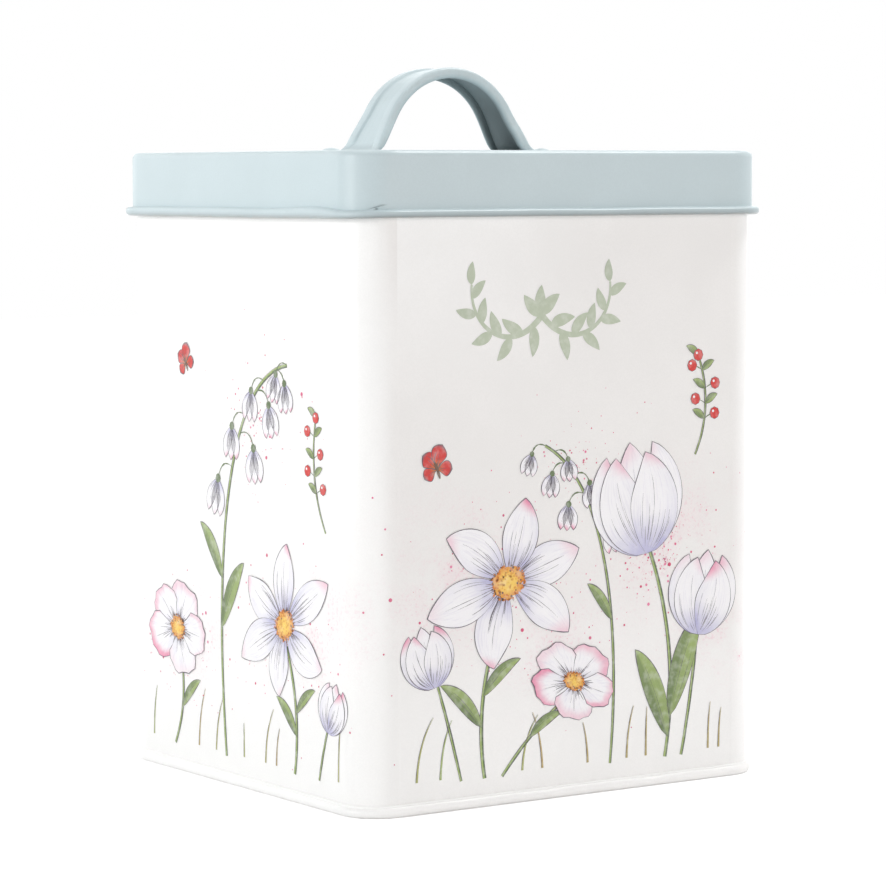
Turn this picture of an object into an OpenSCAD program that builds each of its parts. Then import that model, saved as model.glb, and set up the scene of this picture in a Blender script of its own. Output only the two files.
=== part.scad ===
// Garden seed organizer tin: a wrapped steel body with a rolled foot, a pressed
// slip-over lid with an arched strap handle riveted to it, and twelve tabbed
// index cards standing inside.
// Millimetres, Z up. The origin is on the floor under the middle of the tin and
// the front face looks towards -Y.

/* [Overall size] */
// Outside width of the tin, left to right
body_width = 140; // [116:0.5:168]
// Outside depth of the tin, front to back
body_depth = 133.4; // [111:0.2:160]
// Floor to the flat border of the closed lid
tin_height = 184.3; // [153:0.1:222]
// Outside radius of the wall's upright corners
corner_radius = 11; // [9:0.2:13.4]

/* [Sheet metal] */
// Thickness of the body, base and lid sheet
sheet = 0.5; // [0.4:0.02:0.6]
// Height of the folded hem inside the body's rim
hem_height = 4; // [3:0.1:6]
// Width of the lock seam on the inside of the back wall
seam_width = 6; // [4:0.1:8]

/* [Foot bead] */
// Outside radius of the rolled bead round the foot
foot_bead_radius = 1.7; // [1.6:0.02:2.1]
// How far the foot bead stands out from the wall
foot_bead_out = 1.35; // [1.2:0.01:1.4]
// Height of the base pan's floor above the ground
floor_height = 3.6; // [3:0.1:5]

/* [Lid] */
// Height of the lid from its lower bead to its flat border
lid_height = 19.1; // [15.5:0.1:23]
// Gap between the lid's skirt and the body's wall
lid_gap = 0.83; // [0.65:0.01:1]
// Outside radius of the lid's upper edge
lid_edge_radius = 1.9; // [1.6:0.05:2.4]
// Outside radius of the curl at the skirt's lower edge
lid_curl_radius = 1.3; // [1.1:0.05:1.6]
// Height of that curl
lid_curl_height = 3.1; // [2.7:0.05:3.8]
// Width of the flat border round the lid's sunk panel
lid_border = 5; // [4:0.1:6]
// Depth the panel is sunk below the border
panel_sink = 0.5; // [0.4:0.02:0.6]

/* [Handle] */
// Width of the handle strap over its crown
strap_width = 16.2; // [13.5:0.1:19.4]
// How much further out each rim gets down a leg
foot_flare = 2; // [1.6:0.1:2.4]
// Thickness of the strap's sheet
strap_sheet = 0.8; // [0.7:0.02:0.95]
// Rise of the arch above the lid's border
handle_rise = 24.9; // [21:0.1:30]
// Outside radius of the arch's crown
crown_radius = 24.3; // [20.2:0.1:29]
// Lean of the legs from upright, degrees
leg_lean = 30; // [25:0.5:36]
// Outside radius of the rolled rims along the strap's edges
rim_radius = 1.5; // [1.3:0.05:1.8]
// How far the rims stand above the web between them
rim_rise = 0.7; // [0.5:0.05:0.8]
// Depth of the turned-down edges below the rims' crests
edge_depth = 2.9; // [2.4:0.1:3.5]
// Depth that those edges fade to at the foot of each leg
edge_foot_depth = 1.7; // [1.6:0.05:2]
// Radius of the bend between a leg and its foot
foot_bend = 2; // [1.6:0.1:2.6]
// Distance between the two rivets
rivet_spacing = 75.6; // [66:0.2:90]

/* [Rivets] */
// Radius of a rivet's shank
shank_radius = 1.5; // [1.2:0.05:1.8]
// Radius of a rivet's domed head
rivet_head_radius = 3; // [2.5:0.1:3.6]
// Height of a rivet's domed head
rivet_head_height = 0.9; // [0.7:0.05:1.2]

/* [Index cards] */
// Thickness of a card
card_thickness = 1; // [0.8:0.05:1.2]
// Gap between a card's edge and the wall on each side
card_gap = 1.3; // [1.1:0.05:1.6]
// Distance from the tabs' tops up to the lid's border
tab_headroom = 14.3; // [10:0.1:18]
// Width of a tab
tab_width = 19; // [15:0.5:19]
// Height of a tab above its card
tab_height = 11; // [8:0.5:13]

/* [Hidden] */
$fn = 96;
card_count = 12;
tab_places = 6;
touch_gap = 0.3;
bore_play = 0.05;
small = 0.01;
through = 1;

// The body's rim stops just under the lid's border.
rim_height = tin_height - sheet - touch_gap;
panel_top = tin_height - panel_sink;
panel_underside = panel_top - sheet;

// Back seam: the fine groove where the wall's two ends meet.
seam_line_width = 0.3;
seam_line_depth = 0.15;

// Foot bead: the bottom of the roll is pressed flat where it stands.
foot_flat_depth = 0.15;
foot_bead_x = foot_bead_out - foot_bead_radius;
foot_bead_z = foot_bead_radius - foot_flat_depth;
foot_bead_inner = foot_bead_x - foot_bead_radius;
wall_foot = foot_bead_z - sheet;
hook_length = 0.45;

// Lid outline, measured outwards from the body's wall.
skirt_out = lid_gap + sheet;
skirt_foot = tin_height - lid_height;
curl_x = lid_gap + lid_curl_radius;
curl_low_z = skirt_foot + lid_curl_radius;
curl_high_z = skirt_foot + lid_curl_height - lid_curl_radius;
curl_slit = 0.15;
edge_x = skirt_out - lid_edge_radius;
border_end = skirt_out - lid_edge_radius - lid_border;
step_run = 0.8;
panel_edge = border_end - step_run;
panel_lap = 0.6;

// Handle: the web's upper face leaves the crown's arc for a straight leg at
// web_line_x, web_line_z, and each leg ends in a bend and a flat foot.
crest_top = tin_height + handle_rise;
crown_z = crest_top - crown_radius;
foot_top = panel_top + strap_sheet;
web_line_z = crown_z + (crown_radius - rim_rise) * sin(leg_lean);
web_line_x = (crown_radius - rim_rise) * cos(leg_lean);
leg_length = (web_line_z - foot_top - foot_bend * (1 - sin(leg_lean))) / cos(leg_lean);
bend_x = web_line_x + leg_length * sin(leg_lean) + foot_bend * cos(leg_lean);
bend_z = foot_top + foot_bend;
rim_run_out = 6;
rim_middle = strap_width / 2 - rim_radius;
rim_turn = atan(foot_flare / leg_length);
foot_inset = 0.3;
foot_width = strap_width + 2 * foot_flare - 2 * foot_inset;
foot_end_radius = 6.7;

// The strap's straight runs are this much leaner than its bends, and lap this
// far into them, so that each run ends inside solid metal.
run_thinning = 0.05;
run_lap = 0.1;

// Rivets: under the panel each shank ends in a washer and a low tail.
washer_thickness = 0.5;
washer_radius = 4;
tail_radius = 2.4;
tail_height = 0.8;

// Cards: an even row of packet spaces with a card between each pair.
inner_depth = body_depth - 2 * sheet;
card_pitch = inner_depth / (card_count + 1);
card_width = body_width - 2 * sheet - 2 * card_gap;
tab_top = tin_height - tab_headroom;
card_top = tab_top - tab_height;
card_corner = 4;
tab_corner = 3;
tab_inset = 4;
tab_pitch = (card_width - 2 * tab_inset - tab_width) / (tab_places - 1);

// A rectangle with round corners, centred on the origin.
module round_rectangle(width, depth, radius) {
    square([width - 2 * radius, depth], center = true);
    square([width, depth - 2 * radius], center = true);
    for (x = [-1, 1]) {
        for (y = [-1, 1]) {
            translate([x * (width / 2 - radius), y * (depth / 2 - radius)])
                circle(r = radius);
        }
    }
}

// Carries a flat profile once round the tin. The profile's X is the distance
// outwards from the body's wall and its Y is the height.
module round_the_tin() {
    for (side = [0:3]) {
        half_out = (side % 2 == 0 ? body_width : body_depth) / 2;
        half_run = (side % 2 == 0 ? body_depth : body_width) / 2 - corner_radius;
        rotate([0, 0, 90 * side]) {
            translate([half_out, half_run, 0])
                rotate([90, 0, 0])
                    linear_extrude(height = 2 * half_run)
                        children();
            translate([half_out - corner_radius, half_run, 0])
                rotate_extrude(angle = 90)
                    translate([corner_radius, 0])
                        children();
        }
    }
}

// Puts its children at both rivets.
module at_rivets() {
    for (x = [-1, 1]) {
        translate([x * rivet_spacing / 2, 0, 0])
            children();
    }
}

// The wall in section: hooked at the foot, folded inwards at the rim.
module wall_profile() {
    translate([-sheet, wall_foot])
        square([sheet, rim_height - sheet - wall_foot]);
    translate([0, wall_foot])
        square([hook_length, sheet]);
    translate([-2 * sheet, rim_height - hem_height])
        square([2 * sheet, hem_height - sheet]);
    translate([-sheet, rim_height - sheet])
        circle(r = sheet);
}

// The lock seam's doubled strip inside the back wall.
module lock_seam() {
    seam_foot = floor_height + touch_gap;
    translate([-seam_width / 2, body_depth / 2 - 2 * sheet, seam_foot])
        cube([seam_width, sheet + small, rim_height - hem_height - seam_foot + small]);
}

// The groove that the lock seam shows outside.
module seam_line() {
    line_foot = foot_bead_z + foot_bead_radius;
    translate([
        seam_width / 2 - seam_line_width,
        body_depth / 2 - seam_line_depth,
        line_foot
    ])
        cube([seam_line_width, through, rim_height - hem_height - line_foot]);
}

module body_shell() {
    color([0.95, 0.95, 0.94])
        difference() {
            union() {
                round_the_tin() wall_profile();
                lock_seam();
            }
            seam_line();
        }
}

// The base pan's rim rolled round the wall's hook, with a slit for the wall.
module foot_bead_profile() {
    difference() {
        union() {
            translate([foot_bead_x, foot_bead_z])
                circle(r = foot_bead_radius);
            translate([foot_bead_inner, foot_bead_z])
                square([sheet, floor_height - foot_bead_z]);
        }
        translate([foot_bead_x, foot_bead_z])
            circle(r = foot_bead_radius - sheet);
        translate([-sheet - bore_play, foot_bead_z])
            square([sheet + 2 * bore_play, foot_bead_radius + small]);
        translate([foot_bead_inner, -through])
            square([2 * foot_bead_radius, through]);
    }
}

module base_pan() {
    pan_edge = foot_bead_inner + sheet / 2;
    color([0.9, 0.9, 0.89]) {
        round_the_tin() foot_bead_profile();
        translate([0, 0, floor_height - sheet])
            linear_extrude(height = sheet)
                round_rectangle(
                    body_width + 2 * pan_edge,
                    body_depth + 2 * pan_edge,
                    corner_radius + pan_edge
                );
    }
}

// An upright oval, used for the outside and the inside of the lid's curl.
module curl_oval(radius) {
    translate([curl_x, curl_low_z])
        circle(r = radius);
    translate([curl_x, curl_high_z])
        circle(r = radius);
    translate([curl_x - radius, curl_low_z])
        square([2 * radius, curl_high_z - curl_low_z]);
}

// The skirt's lower edge curled outwards and back up to the skirt.
module lid_curl_profile() {
    difference() {
        curl_oval(lid_curl_radius);
        curl_oval(lid_curl_radius - sheet);
        translate([skirt_out, curl_high_z])
            square([curl_slit, lid_curl_radius]);
    }
}

// The lid in section from its curl up the skirt to the edge of the sunk panel.
module lid_profile() {
    edge_z = tin_height - lid_edge_radius;
    lid_curl_profile();
    translate([lid_gap, curl_low_z])
        square([sheet, edge_z - curl_low_z]);
    translate([edge_x, edge_z])
        intersection() {
            difference() {
                circle(r = lid_edge_radius);
                circle(r = lid_edge_radius - sheet);
            }
            square(lid_edge_radius);
        }
    translate([border_end, tin_height - sheet])
        square([lid_border, sheet]);
    polygon([
        [border_end, tin_height],
        [panel_edge, panel_top],
        [panel_edge - panel_lap, panel_top],
        [panel_edge - panel_lap, panel_underside],
        [panel_edge, panel_underside],
        [border_end, tin_height - sheet]
    ]);
}

module lid_shell() {
    plate_edge = panel_edge - panel_lap / 2;
    color([0.76, 0.82, 0.83])
        difference() {
            union() {
                round_the_tin() lid_profile();
                translate([0, 0, panel_underside])
                    linear_extrude(height = sheet)
                        round_rectangle(
                            body_width + 2 * plate_edge,
                            body_depth + 2 * plate_edge,
                            corner_radius + plate_edge
                        );
            }
            at_rivets()
                translate([0, 0, panel_underside - through])
                    cylinder(r = shank_radius + bore_play, h = sheet + 2 * through);
        }
}

// One rolled rim of the strap with its turned-down edge. X runs outwards from
// the arch, zero at the rim's crest, and Y runs across the strap. A thinning
// above zero draws the same section a little lean on every side.
module rim_profile(thinning = 0) {
    difference() {
        translate([-rim_radius, rim_middle])
            circle(r = rim_radius - thinning);
        translate([-rim_radius, rim_middle])
            circle(r = rim_radius - strap_sheet + thinning);
        translate([-2 * strap_width - rim_radius, -strap_width])
            square(2 * strap_width);
    }
    translate([-edge_depth + thinning, strap_width / 2 - strap_sheet + thinning])
        square([edge_depth - rim_radius, strap_sheet - 2 * thinning]);
}

// This module and the ones down to foot() lie flat on XY: X is the tin's X and
// Y its height above the crown's centre.
module crown() {
    rotate_extrude(angle = 180 - 2 * leg_lean, start = leg_lean)
        translate([crown_radius, 0]) {
            rim_profile();
            mirror([0, 1, 0])
                rim_profile();
            translate([-rim_rise - strap_sheet, -rim_middle])
                square([strap_sheet, 2 * rim_middle]);
        }
}

// Places its children at the end of the crown with the leg running along -Y.
module at_leg() {
    rotate([0, 0, leg_lean])
        translate([crown_radius, 0, 0])
            children();
}

// The flat web of a leg, which widens with the rims and stops inside the bend.
module leg_web() {
    web_end = leg_length + run_lap;
    end_half = rim_middle + web_end * tan(rim_turn);
    at_leg()
        translate([-rim_rise - strap_sheet + run_thinning, 0, 0])
            rotate([0, 90, 0])
                linear_extrude(height = strap_sheet - 2 * run_thinning)
                    polygon([
                        [-rim_middle, run_lap],
                        [rim_middle, run_lap],
                        [end_half, -web_end],
                        [-end_half, -web_end]
                    ]);
}

// A leg's rim, turned outwards about its own line where the crown ends.
module leg_rim() {
    at_leg()
        translate([0, 0, rim_middle])
            rotate([-rim_turn, 0, 0])
                translate([0, run_lap, -rim_middle])
                    rotate([90, 0, 0])
                        linear_extrude(height = leg_length + rim_run_out + run_lap)
                            rim_profile(run_thinning);
}

// What is trimmed off the turned-down edges so that they fade down a leg.
module edge_trim() {
    at_leg()
        translate([0, 0, -strap_width])
            linear_extrude(height = 2 * strap_width)
                polygon([
                    [-edge_depth, 0],
                    [-edge_foot_depth, -leg_length],
                    [-edge_foot_depth, -leg_length - rim_run_out],
                    [-2 * edge_depth, -leg_length - rim_run_out],
                    [-2 * edge_depth, 0]
                ]);
}

// One leg: the rims run on down to just above the panel.
module leg() {
    rim_stop = panel_top + touch_gap - crown_z;
    leg_web();
    difference() {
        intersection() {
            union() {
                leg_rim();
                mirror([0, 0, 1])
                    leg_rim();
            }
            translate([0, rim_stop, -strap_width])
                cube([2 * crown_radius + rivet_spacing, crest_top, 2 * strap_width]);
        }
        edge_trim();
    }
}

// The bend at the end of a leg.
module bend() {
    translate([bend_x, bend_z - crown_z, 0])
        rotate_extrude(angle = 90 - leg_lean, start = 180 + leg_lean)
            translate([foot_bend, -foot_width / 2])
                square([strap_sheet, foot_width]);
}

// The flat foot, narrowing to a round end centred on the rivet's hole.
module foot() {
    plate = strap_sheet - 2 * run_thinning;
    foot_half = foot_width / 2 - run_thinning;
    translate([0, panel_top + run_thinning - crown_z, 0])
        rotate([-90, 0, 0])
            difference() {
                linear_extrude(height = plate) {
                    polygon([
                        [bend_x - run_lap, -foot_half],
                        [bend_x, -foot_half],
                        [rivet_spacing / 2, -foot_end_radius],
                        [rivet_spacing / 2, foot_end_radius],
                        [bend_x, foot_half],
                        [bend_x - run_lap, foot_half]
                    ]);
                    translate([rivet_spacing / 2, 0])
                        circle(r = foot_end_radius);
                }
                translate([rivet_spacing / 2, 0, -through])
                    cylinder(r = shank_radius + bore_play, h = plate + 2 * through);
            }
}

module handle_strap() {
    color([0.73, 0.81, 0.82])
        translate([0, 0, crown_z])
            rotate([90, 0, 0]) {
                crown();
                for (side = [0, 1]) {
                    mirror([side, 0, 0]) {
                        leg();
                        bend();
                        foot();
                    }
                }
            }
}

// A low dome of the given radius and height, its flat side on the XY plane.
module dome(radius, height) {
    ball = (radius * radius + height * height) / (2 * height);
    intersection() {
        translate([0, 0, height - ball])
            sphere(r = ball);
        cylinder(r = radius + through, h = height + through);
    }
}

module rivets() {
    tail_top = panel_underside - washer_thickness;
    color([0.73, 0.81, 0.82])
        at_rivets() {
            translate([0, 0, foot_top])
                dome(rivet_head_radius, rivet_head_height);
            translate([0, 0, tail_top - small])
                cylinder(r = shank_radius, h = foot_top - tail_top + 2 * small);
            translate([0, 0, tail_top])
                rotate([180, 0, 0])
                    dome(tail_radius, tail_height);
        }
}

module rivet_washers() {
    color([0.7, 0.71, 0.72])
        at_rivets()
            translate([0, 0, panel_underside - washer_thickness])
                difference() {
                    cylinder(r = washer_radius, h = washer_thickness);
                    translate([0, 0, -through])
                        cylinder(
                            r = shank_radius + bore_play,
                            h = washer_thickness + 2 * through
                        );
                }
}

// A rectangle standing on the X axis with its two upper corners rounded.
module round_topped(width, height, radius) {
    translate([-width / 2, 0])
        square([width, height - radius]);
    translate([radius - width / 2, 0])
        square([width - 2 * radius, height]);
    for (side = [-1, 1]) {
        translate([side * (width / 2 - radius), height - radius])
            circle(r = radius);
    }
}

// Card number 1 stands at the front. The tabs step to the right over six
// places, twice.
module index_card(number) {
    place = (number - 1) % tab_places;
    tab_x = tab_inset + tab_width / 2 + place * tab_pitch - card_width / 2;
    card_y = number * card_pitch - inner_depth / 2;
    color([0.93, 0.91, 0.84])
        translate([0, card_y + card_thickness / 2, floor_height])
            rotate([90, 0, 0])
                linear_extrude(height = card_thickness) {
                    round_topped(card_width, card_top - floor_height, card_corner);
                    translate([tab_x, 0])
                        round_topped(tab_width, tab_top - floor_height, tab_corner);
                }
}

body_shell();
base_pan();
lid_shell();
handle_strap();
rivets();
rivet_washers();
index_card(1);  // index_card_01
index_card(2);  // index_card_02
index_card(3);  // index_card_03
index_card(4);  // index_card_04
index_card(5);  // index_card_05
index_card(6);  // index_card_06
index_card(7);  // index_card_07
index_card(8);  // index_card_08
index_card(9);  // index_card_09
index_card(10);  // index_card_10
index_card(11);  // index_card_11
index_card(12);  // index_card_12
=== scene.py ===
"""Looks of a garden seed tin: a white powder-coated tin with a floral print, a
duck-egg lid with an arched handle, and numbered index cards inside.

Shapes are worked out in millimetres and put into their meshes in metres, in the
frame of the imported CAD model.
"""

import math
from types import SimpleNamespace

import bmesh
import bpy
import numpy as np
from mathutils import Euler, Matrix, Vector


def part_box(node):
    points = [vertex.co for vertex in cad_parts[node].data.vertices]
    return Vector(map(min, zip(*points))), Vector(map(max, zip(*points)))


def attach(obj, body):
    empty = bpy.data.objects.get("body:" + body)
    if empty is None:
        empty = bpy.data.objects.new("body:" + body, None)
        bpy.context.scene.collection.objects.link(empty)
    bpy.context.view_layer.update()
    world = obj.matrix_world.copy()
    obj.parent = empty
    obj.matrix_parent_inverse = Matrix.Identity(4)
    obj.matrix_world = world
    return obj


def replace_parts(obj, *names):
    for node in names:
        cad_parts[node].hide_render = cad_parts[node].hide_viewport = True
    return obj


bl_info = {
    "name": "Garden seed tin",
    "version": (1, 0, 0),
    "blender": (4, 5, 0),
    "location": "3D View > Sidebar > Seed tin",
    "description": "Builds the coated tin, its print, lid, handle and index cards",
    "category": "Object",
}

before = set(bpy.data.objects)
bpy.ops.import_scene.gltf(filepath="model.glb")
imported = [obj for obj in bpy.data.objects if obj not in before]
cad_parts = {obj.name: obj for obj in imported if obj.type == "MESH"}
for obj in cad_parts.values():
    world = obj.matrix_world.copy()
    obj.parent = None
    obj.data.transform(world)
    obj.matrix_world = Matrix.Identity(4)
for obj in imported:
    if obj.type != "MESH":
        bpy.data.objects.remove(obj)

MM = 0.001
CARD_COUNT = 12
TAB_PLACES = 6
# The print's lowest shapes stand this far off the wall, and each level a step more
PRINT_LIFT = 0.05
PRINT_STEP = 0.01


# Properties

def length(name, description, millimetres):
    """A length property, held in metres, with its default in millimetres."""
    return bpy.props.FloatProperty(
        name=name,
        description=description,
        default=millimetres * MM,
        unit="LENGTH",
        precision=5,
    )


def linear(red, green, blue):
    """Linear values of a colour given from 0 to 255 as it shows on a screen."""
    shown = np.array([red, green, blue]) / 255
    return tuple(np.where(shown <= 0.04045, shown / 12.92, ((shown + 0.055) / 1.055) ** 2.4))


def colour(name, description, red, green, blue):
    """A colour property with its default as it shows on a screen."""
    return bpy.props.FloatVectorProperty(
        name=name,
        description=description,
        default=linear(red, green, blue),
        subtype="COLOR",
        size=3,
        min=0.0,
        max=1.0,
    )


class SeedTinBodySizes(bpy.types.PropertyGroup):
    body_width: length("Width", "Outside width of the wall", 140)
    body_depth: length("Depth", "Outside depth of the wall", 133.4)
    corner_radius: length("Corner radius", "Outside radius of the upright corners", 11)
    sheet: length("Sheet", "Thickness of the body, base and lid sheet", 0.5)
    wall_foot: length("Wall foot", "Height of the wall's lower edge", 1.05)
    wall_top: length("Wall top", "Height of the wall's folded rim", 183.5)
    hem_height: length("Hem height", "Height of the fold inside the rim", 4)
    floor_height: length("Floor height", "Height of the base pan's floor", 3.6)
    bead_out: length("Bead reach", "How far the foot bead stands out", 1.35)
    bead_radius: length("Bead radius", "Radius of the foot bead's roll", 1.55)
    bead_flat: length("Bead flat", "How much of the bead's underside is pressed flat", 0.13)
    lip_radius: length("Lip radius", "Radius of the bead's upper lip", 0.42)
    lip_height: length("Lip height", "Height of the lip's middle", 3.04)
    pan_bevel: length("Pan bevel", "Width of the slope from the bead to the pan", 0.5)
    wave_height: length("Sheet waves", "Height of the slow waves in the wall", 0.1)
    crease_depth: length("Crease", "How far front and back sink at the corners", 0.06)
    seam_shift: length("Seam shift", "From the middle of the back to its seam", 2.85)
    groove_depth: length("Seam groove", "Depth of the groove along the back seam", 0.15)


class SeedTinLidSizes(bpy.types.PropertyGroup):
    border_height: length("Border height", "Height of the lid's flat border", 184.3)
    skirt_height: length("Skirt height", "Lid height down to its curled edge", 19.1)
    gap: length("Gap", "Gap between the skirt and the wall", 0.83)
    edge_radius: length("Edge radius", "Outside radius of the upper edge", 1.9)
    curl_radius: length("Curl radius", "Outside radius of the lower curl", 1.3)
    curl_height: length("Curl height", "Height of the lower curl", 3.1)
    corner_dip: length("Corner dip", "How much lower the curl's top is at the near corner", 0.45)
    front_dip: length("Front dip", "How much lower the curl's top is on front and back", 0.35)
    side_swell: length("Side swell", "How much higher the curl's top is before the near corner", 0.4)
    curl_lift: length("Curl lift", "How far the curl's foot is drawn up", 0.3)
    border_width: length("Border", "Width of the border round the panel", 5)
    step_run: length("Step", "Width of the slope down to the panel", 0.8)
    panel_sink: length("Panel sink", "Depth of the panel below the border", 0.5)


class SeedTinHandleSizes(bpy.types.PropertyGroup):
    crest_top: length("Crest", "Height of the handle's highest point", 209.2)
    crown_radius: length("Crown radius", "Outside radius of the crown", 24.3)
    leg_lean: bpy.props.FloatProperty(
        name="Leg lean",
        description="Lean of the legs from upright",
        default=math.radians(30),
        unit="ROTATION",
    )
    strap_width: length("Strap width", "Width of the strap over its crown", 16.2)
    foot_flare: length("Foot flare", "How much further out each rim gets down a leg", 1.3)
    strap_sheet: length("Strap sheet", "Thickness of the strap", 0.8)
    rim_rise: length("Rim rise", "Height of the rims above the web", 0.6)
    rim_radius: length("Rim radius", "Outside radius over the rims", 1.1)
    rim_width: length("Rim width", "Width of the raised rims", 3.7)
    rim_swell: length("Rim swell", "Width of the slope from the web up to a rim", 1.1)
    edge_depth: length("Edge depth", "Depth of the rolled edges", 3.2)
    edge_foot_depth: length("Edge foot depth", "Depth they fade to down a leg", 3.0)
    edge_skew: length("Edge skew", "How much deeper the near edge is at the right foot", 1.1)
    hem_radius: length("Hem radius", "Half the thickness of the rolled edges", 1.3)
    foot_bend: length("Foot bend", "Radius of the bend above each foot", 5)
    foot_top: length("Foot top", "Height of the feet's upper side", 184.6)
    foot_end_radius: length("Foot end", "Radius of the feet's round ends", 6.7)
    rivet_spacing: length("Rivet spacing", "Distance between the rivets", 75.6)


class SeedTinCardSizes(bpy.types.PropertyGroup):
    card_width: length("Card width", "Width of an index card", 136.4)
    tab_inset: length("Tab inset", "From a card's side to its nearest tab", 4)
    tab_width: length("Tab width", "Width of a tab", 19)
    tab_height: length("Tab height", "Height of a tab above its card", 11)
    number_size: length("Number size", "Type size of the tab numbers", 8)
    number_lift: length("Number lift", "How far a number stands off its tab", 0.04)
    line_pitch: length("Line pitch", "Distance between the ruled lines", 9)
    line_width: length("Line width", "Width of a ruled line", 0.35)
    bare_top: length("Bare top", "Bare height above the first ruled line", 8)


class SeedTinFinish(bpy.types.PropertyGroup):
    white: colour("White coat", "Powder coat of the body", 249, 249, 248)
    # Colour of the deepest painted shade on the front and back panels
    panel: colour("Panel", "Deepest painted shade of the front and back", 222, 218, 215)
    duck_egg: colour("Lid coat", "Powder coat of the lid and handle", 198, 213, 217)
    # How light the lid coat is where its painted shade is full, as a share of its colour
    thin_coat: bpy.props.FloatProperty(
        name="Painted shade level",
        description="How light the coat is under full painted shade",
        default=0.38,
    )
    steel: colour("Steel", "Plated washers", 168, 170, 172)
    board: colour("Board", "Index card board", 232, 226, 208)
    # Colour of the faint film: rubbing on the handle's edges, painted shade under the lid's curl and a darker
    # line low on the body
    grime: colour("Grime and shade", "Faint rubbing and painted shade along lower edges", 176, 160, 148)
    peel_size: length("Peel size", "Width of the coat's orange peel", 1.1)
    peel_depth: length("Peel depth", "Depth of the coat's orange peel", 0.03)


class SeedTinInks(bpy.types.PropertyGroup):
    line: colour("Line", "Ink of the drawn outlines", 88, 80, 92)
    petal: colour("Petal", "Light part of a petal", 248, 247, 250)
    lilac: colour("Lilac", "Shaded part of a petal", 176, 174, 214)
    pink: colour("Pink", "Tips and washes", 232, 132, 168)
    rose: colour("Rose", "Deep pink", 206, 62, 104)
    red: colour("Red", "Berries", 206, 46, 40)
    yellow: colour("Yellow", "Stamens and hearts", 247, 206, 98)
    orange: colour("Orange", "Shaded hearts", 214, 124, 40)
    leaf: colour("Leaf", "Light green", 160, 180, 110)
    moss: colour("Moss", "Dark green", 92, 112, 70)
    tan: colour("Tan", "Light brown", 190, 150, 108)
    brown: colour("Brown", "Dark brown", 104, 74, 54)
    sage: colour("Sage", "Flat grey-green ornament", 184, 194, 172)


def power(name, description, value):
    """A lamp's power or a light's strength."""
    return bpy.props.FloatProperty(name=name, description=description, default=value, min=0.0)


class SeedTinStage(bpy.types.PropertyGroup):
    left_power: power("Left lamp", "Power of the left softbox", 11.3)
    front_power: power("Front lamp", "Power of the front softbox", 10.7)
    top_power: power("Top lamp", "Power of the softbox high on the right", 8.0)
    overhead_power: power("Overhead lamp", "Power of the softbox straight above", 3.5)
    back_power: power("Back lamp", "Power of the two softboxes behind", 5.0)
    sky: power("Sky", "Strength of the even light from all sides", 0.22)


def in_mm(group):
    """A group's values by name, its lengths in millimetres."""
    values = {}
    for name in group.__annotations__:
        value = getattr(group, name)
        is_length = group.bl_rna.properties[name].unit == "LENGTH"
        values[name] = value / MM if is_length else value
    return SimpleNamespace(**values)


# Shapes on the tin's outline

def smooth(low, high, value):
    """Rises from 0 at low to 1 at high, level at both ends."""
    share = np.clip((value - low) / (high - low), 0.0, 1.0)
    return share * share * (3 - 2 * share)


def outline(tin):
    """Marks of the tin's outline seen from above, anticlockwise from the middle
    of the front: distance along it, rounding centre and outward angle."""
    run_x = tin.body_width - 2 * tin.corner_radius
    run_y = tin.body_depth - 2 * tin.corner_radius
    bend = math.pi / 2 * tin.corner_radius
    steps = [run_x / 2, bend, run_y, bend, run_x, bend, run_y, bend, run_x / 2]
    return SimpleNamespace(
        along=np.concatenate([[0.0], np.cumsum(steps)]),
        x=run_x / 2 * np.array([0, 1, 1, 1, 1, -1, -1, -1, -1, 0]),
        y=run_y / 2 * np.array([-1, -1, -1, 1, 1, 1, 1, -1, -1, -1]),
        angle=math.pi / 2 * np.array([-1, -1, 0, 0, 1, 1, 2, 2, 3, 3]),
        bend=bend,
        whole=sum(steps),
    )


def wrap(tin, along, out, up):
    """Points of the unrolled wall carried onto the tin. Each is the rounding's
    centre at its distance along the outline, plus the corner radius and its
    distance outwards, laid along the outward angle."""
    marks = outline(tin)
    along, out, up = np.broadcast_arrays(np.mod(along, marks.whole), out, up)
    turn = np.interp(along, marks.along, marks.angle)
    reach = tin.corner_radius + out
    x = np.interp(along, marks.along, marks.x) + reach * np.cos(turn)
    y = np.interp(along, marks.along, marks.y) + reach * np.sin(turn)
    return np.stack([x, y, up], axis=-1)


def stations(tin, extra=()):
    """Distances along the outline at which a swept piece has its columns."""
    marks = outline(tin)
    parts = [np.asarray(extra, float)]
    for index in range(len(marks.along) - 1):
        start, end = marks.along[index], marks.along[index + 1]
        is_bend = index % 2 == 1
        count = 18 if is_bend else max(2, round((end - start) / 4))
        parts.append(np.linspace(start, end, count, endpoint=False))
    places = np.sort(np.mod(np.concatenate(parts), marks.whole))
    return places[np.concatenate([[True], np.diff(places) > 0.02])]


def corner_share(tin, along, spread):
    """1 in the rounded corners, falling to 0 over the spread on both sides."""
    marks = outline(tin)
    middles = (marks.along[1:-1:2] + marks.along[2:-1:2]) / 2
    apart = np.abs(np.mod(along, marks.whole)[..., None] - middles).min(axis=-1)
    return 1 - smooth(marks.bend / 2, marks.bend / 2 + spread, apart)


def face_middle(tin, face):
    """Where along the outline the middle of a face is."""
    marks = outline(tin)
    return [0, marks.along[2:4].mean(), marks.whole / 2, marks.along[6:8].mean()][face]


def face_distance(tin, along, face):
    """Signed distance along the outline from the middle of a face, 0 the front,
    1 the right, 2 the back and 3 the left."""
    whole = outline(tin).whole
    return np.mod(along - face_middle(tin, face) + whole / 2, whole) - whole / 2


def wave(tin, along, cycles, phase=0.0):
    """A sine wave with a whole number of cycles round the tin."""
    return np.sin(2 * math.pi * cycles * along / outline(tin).whole + phase)


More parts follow.
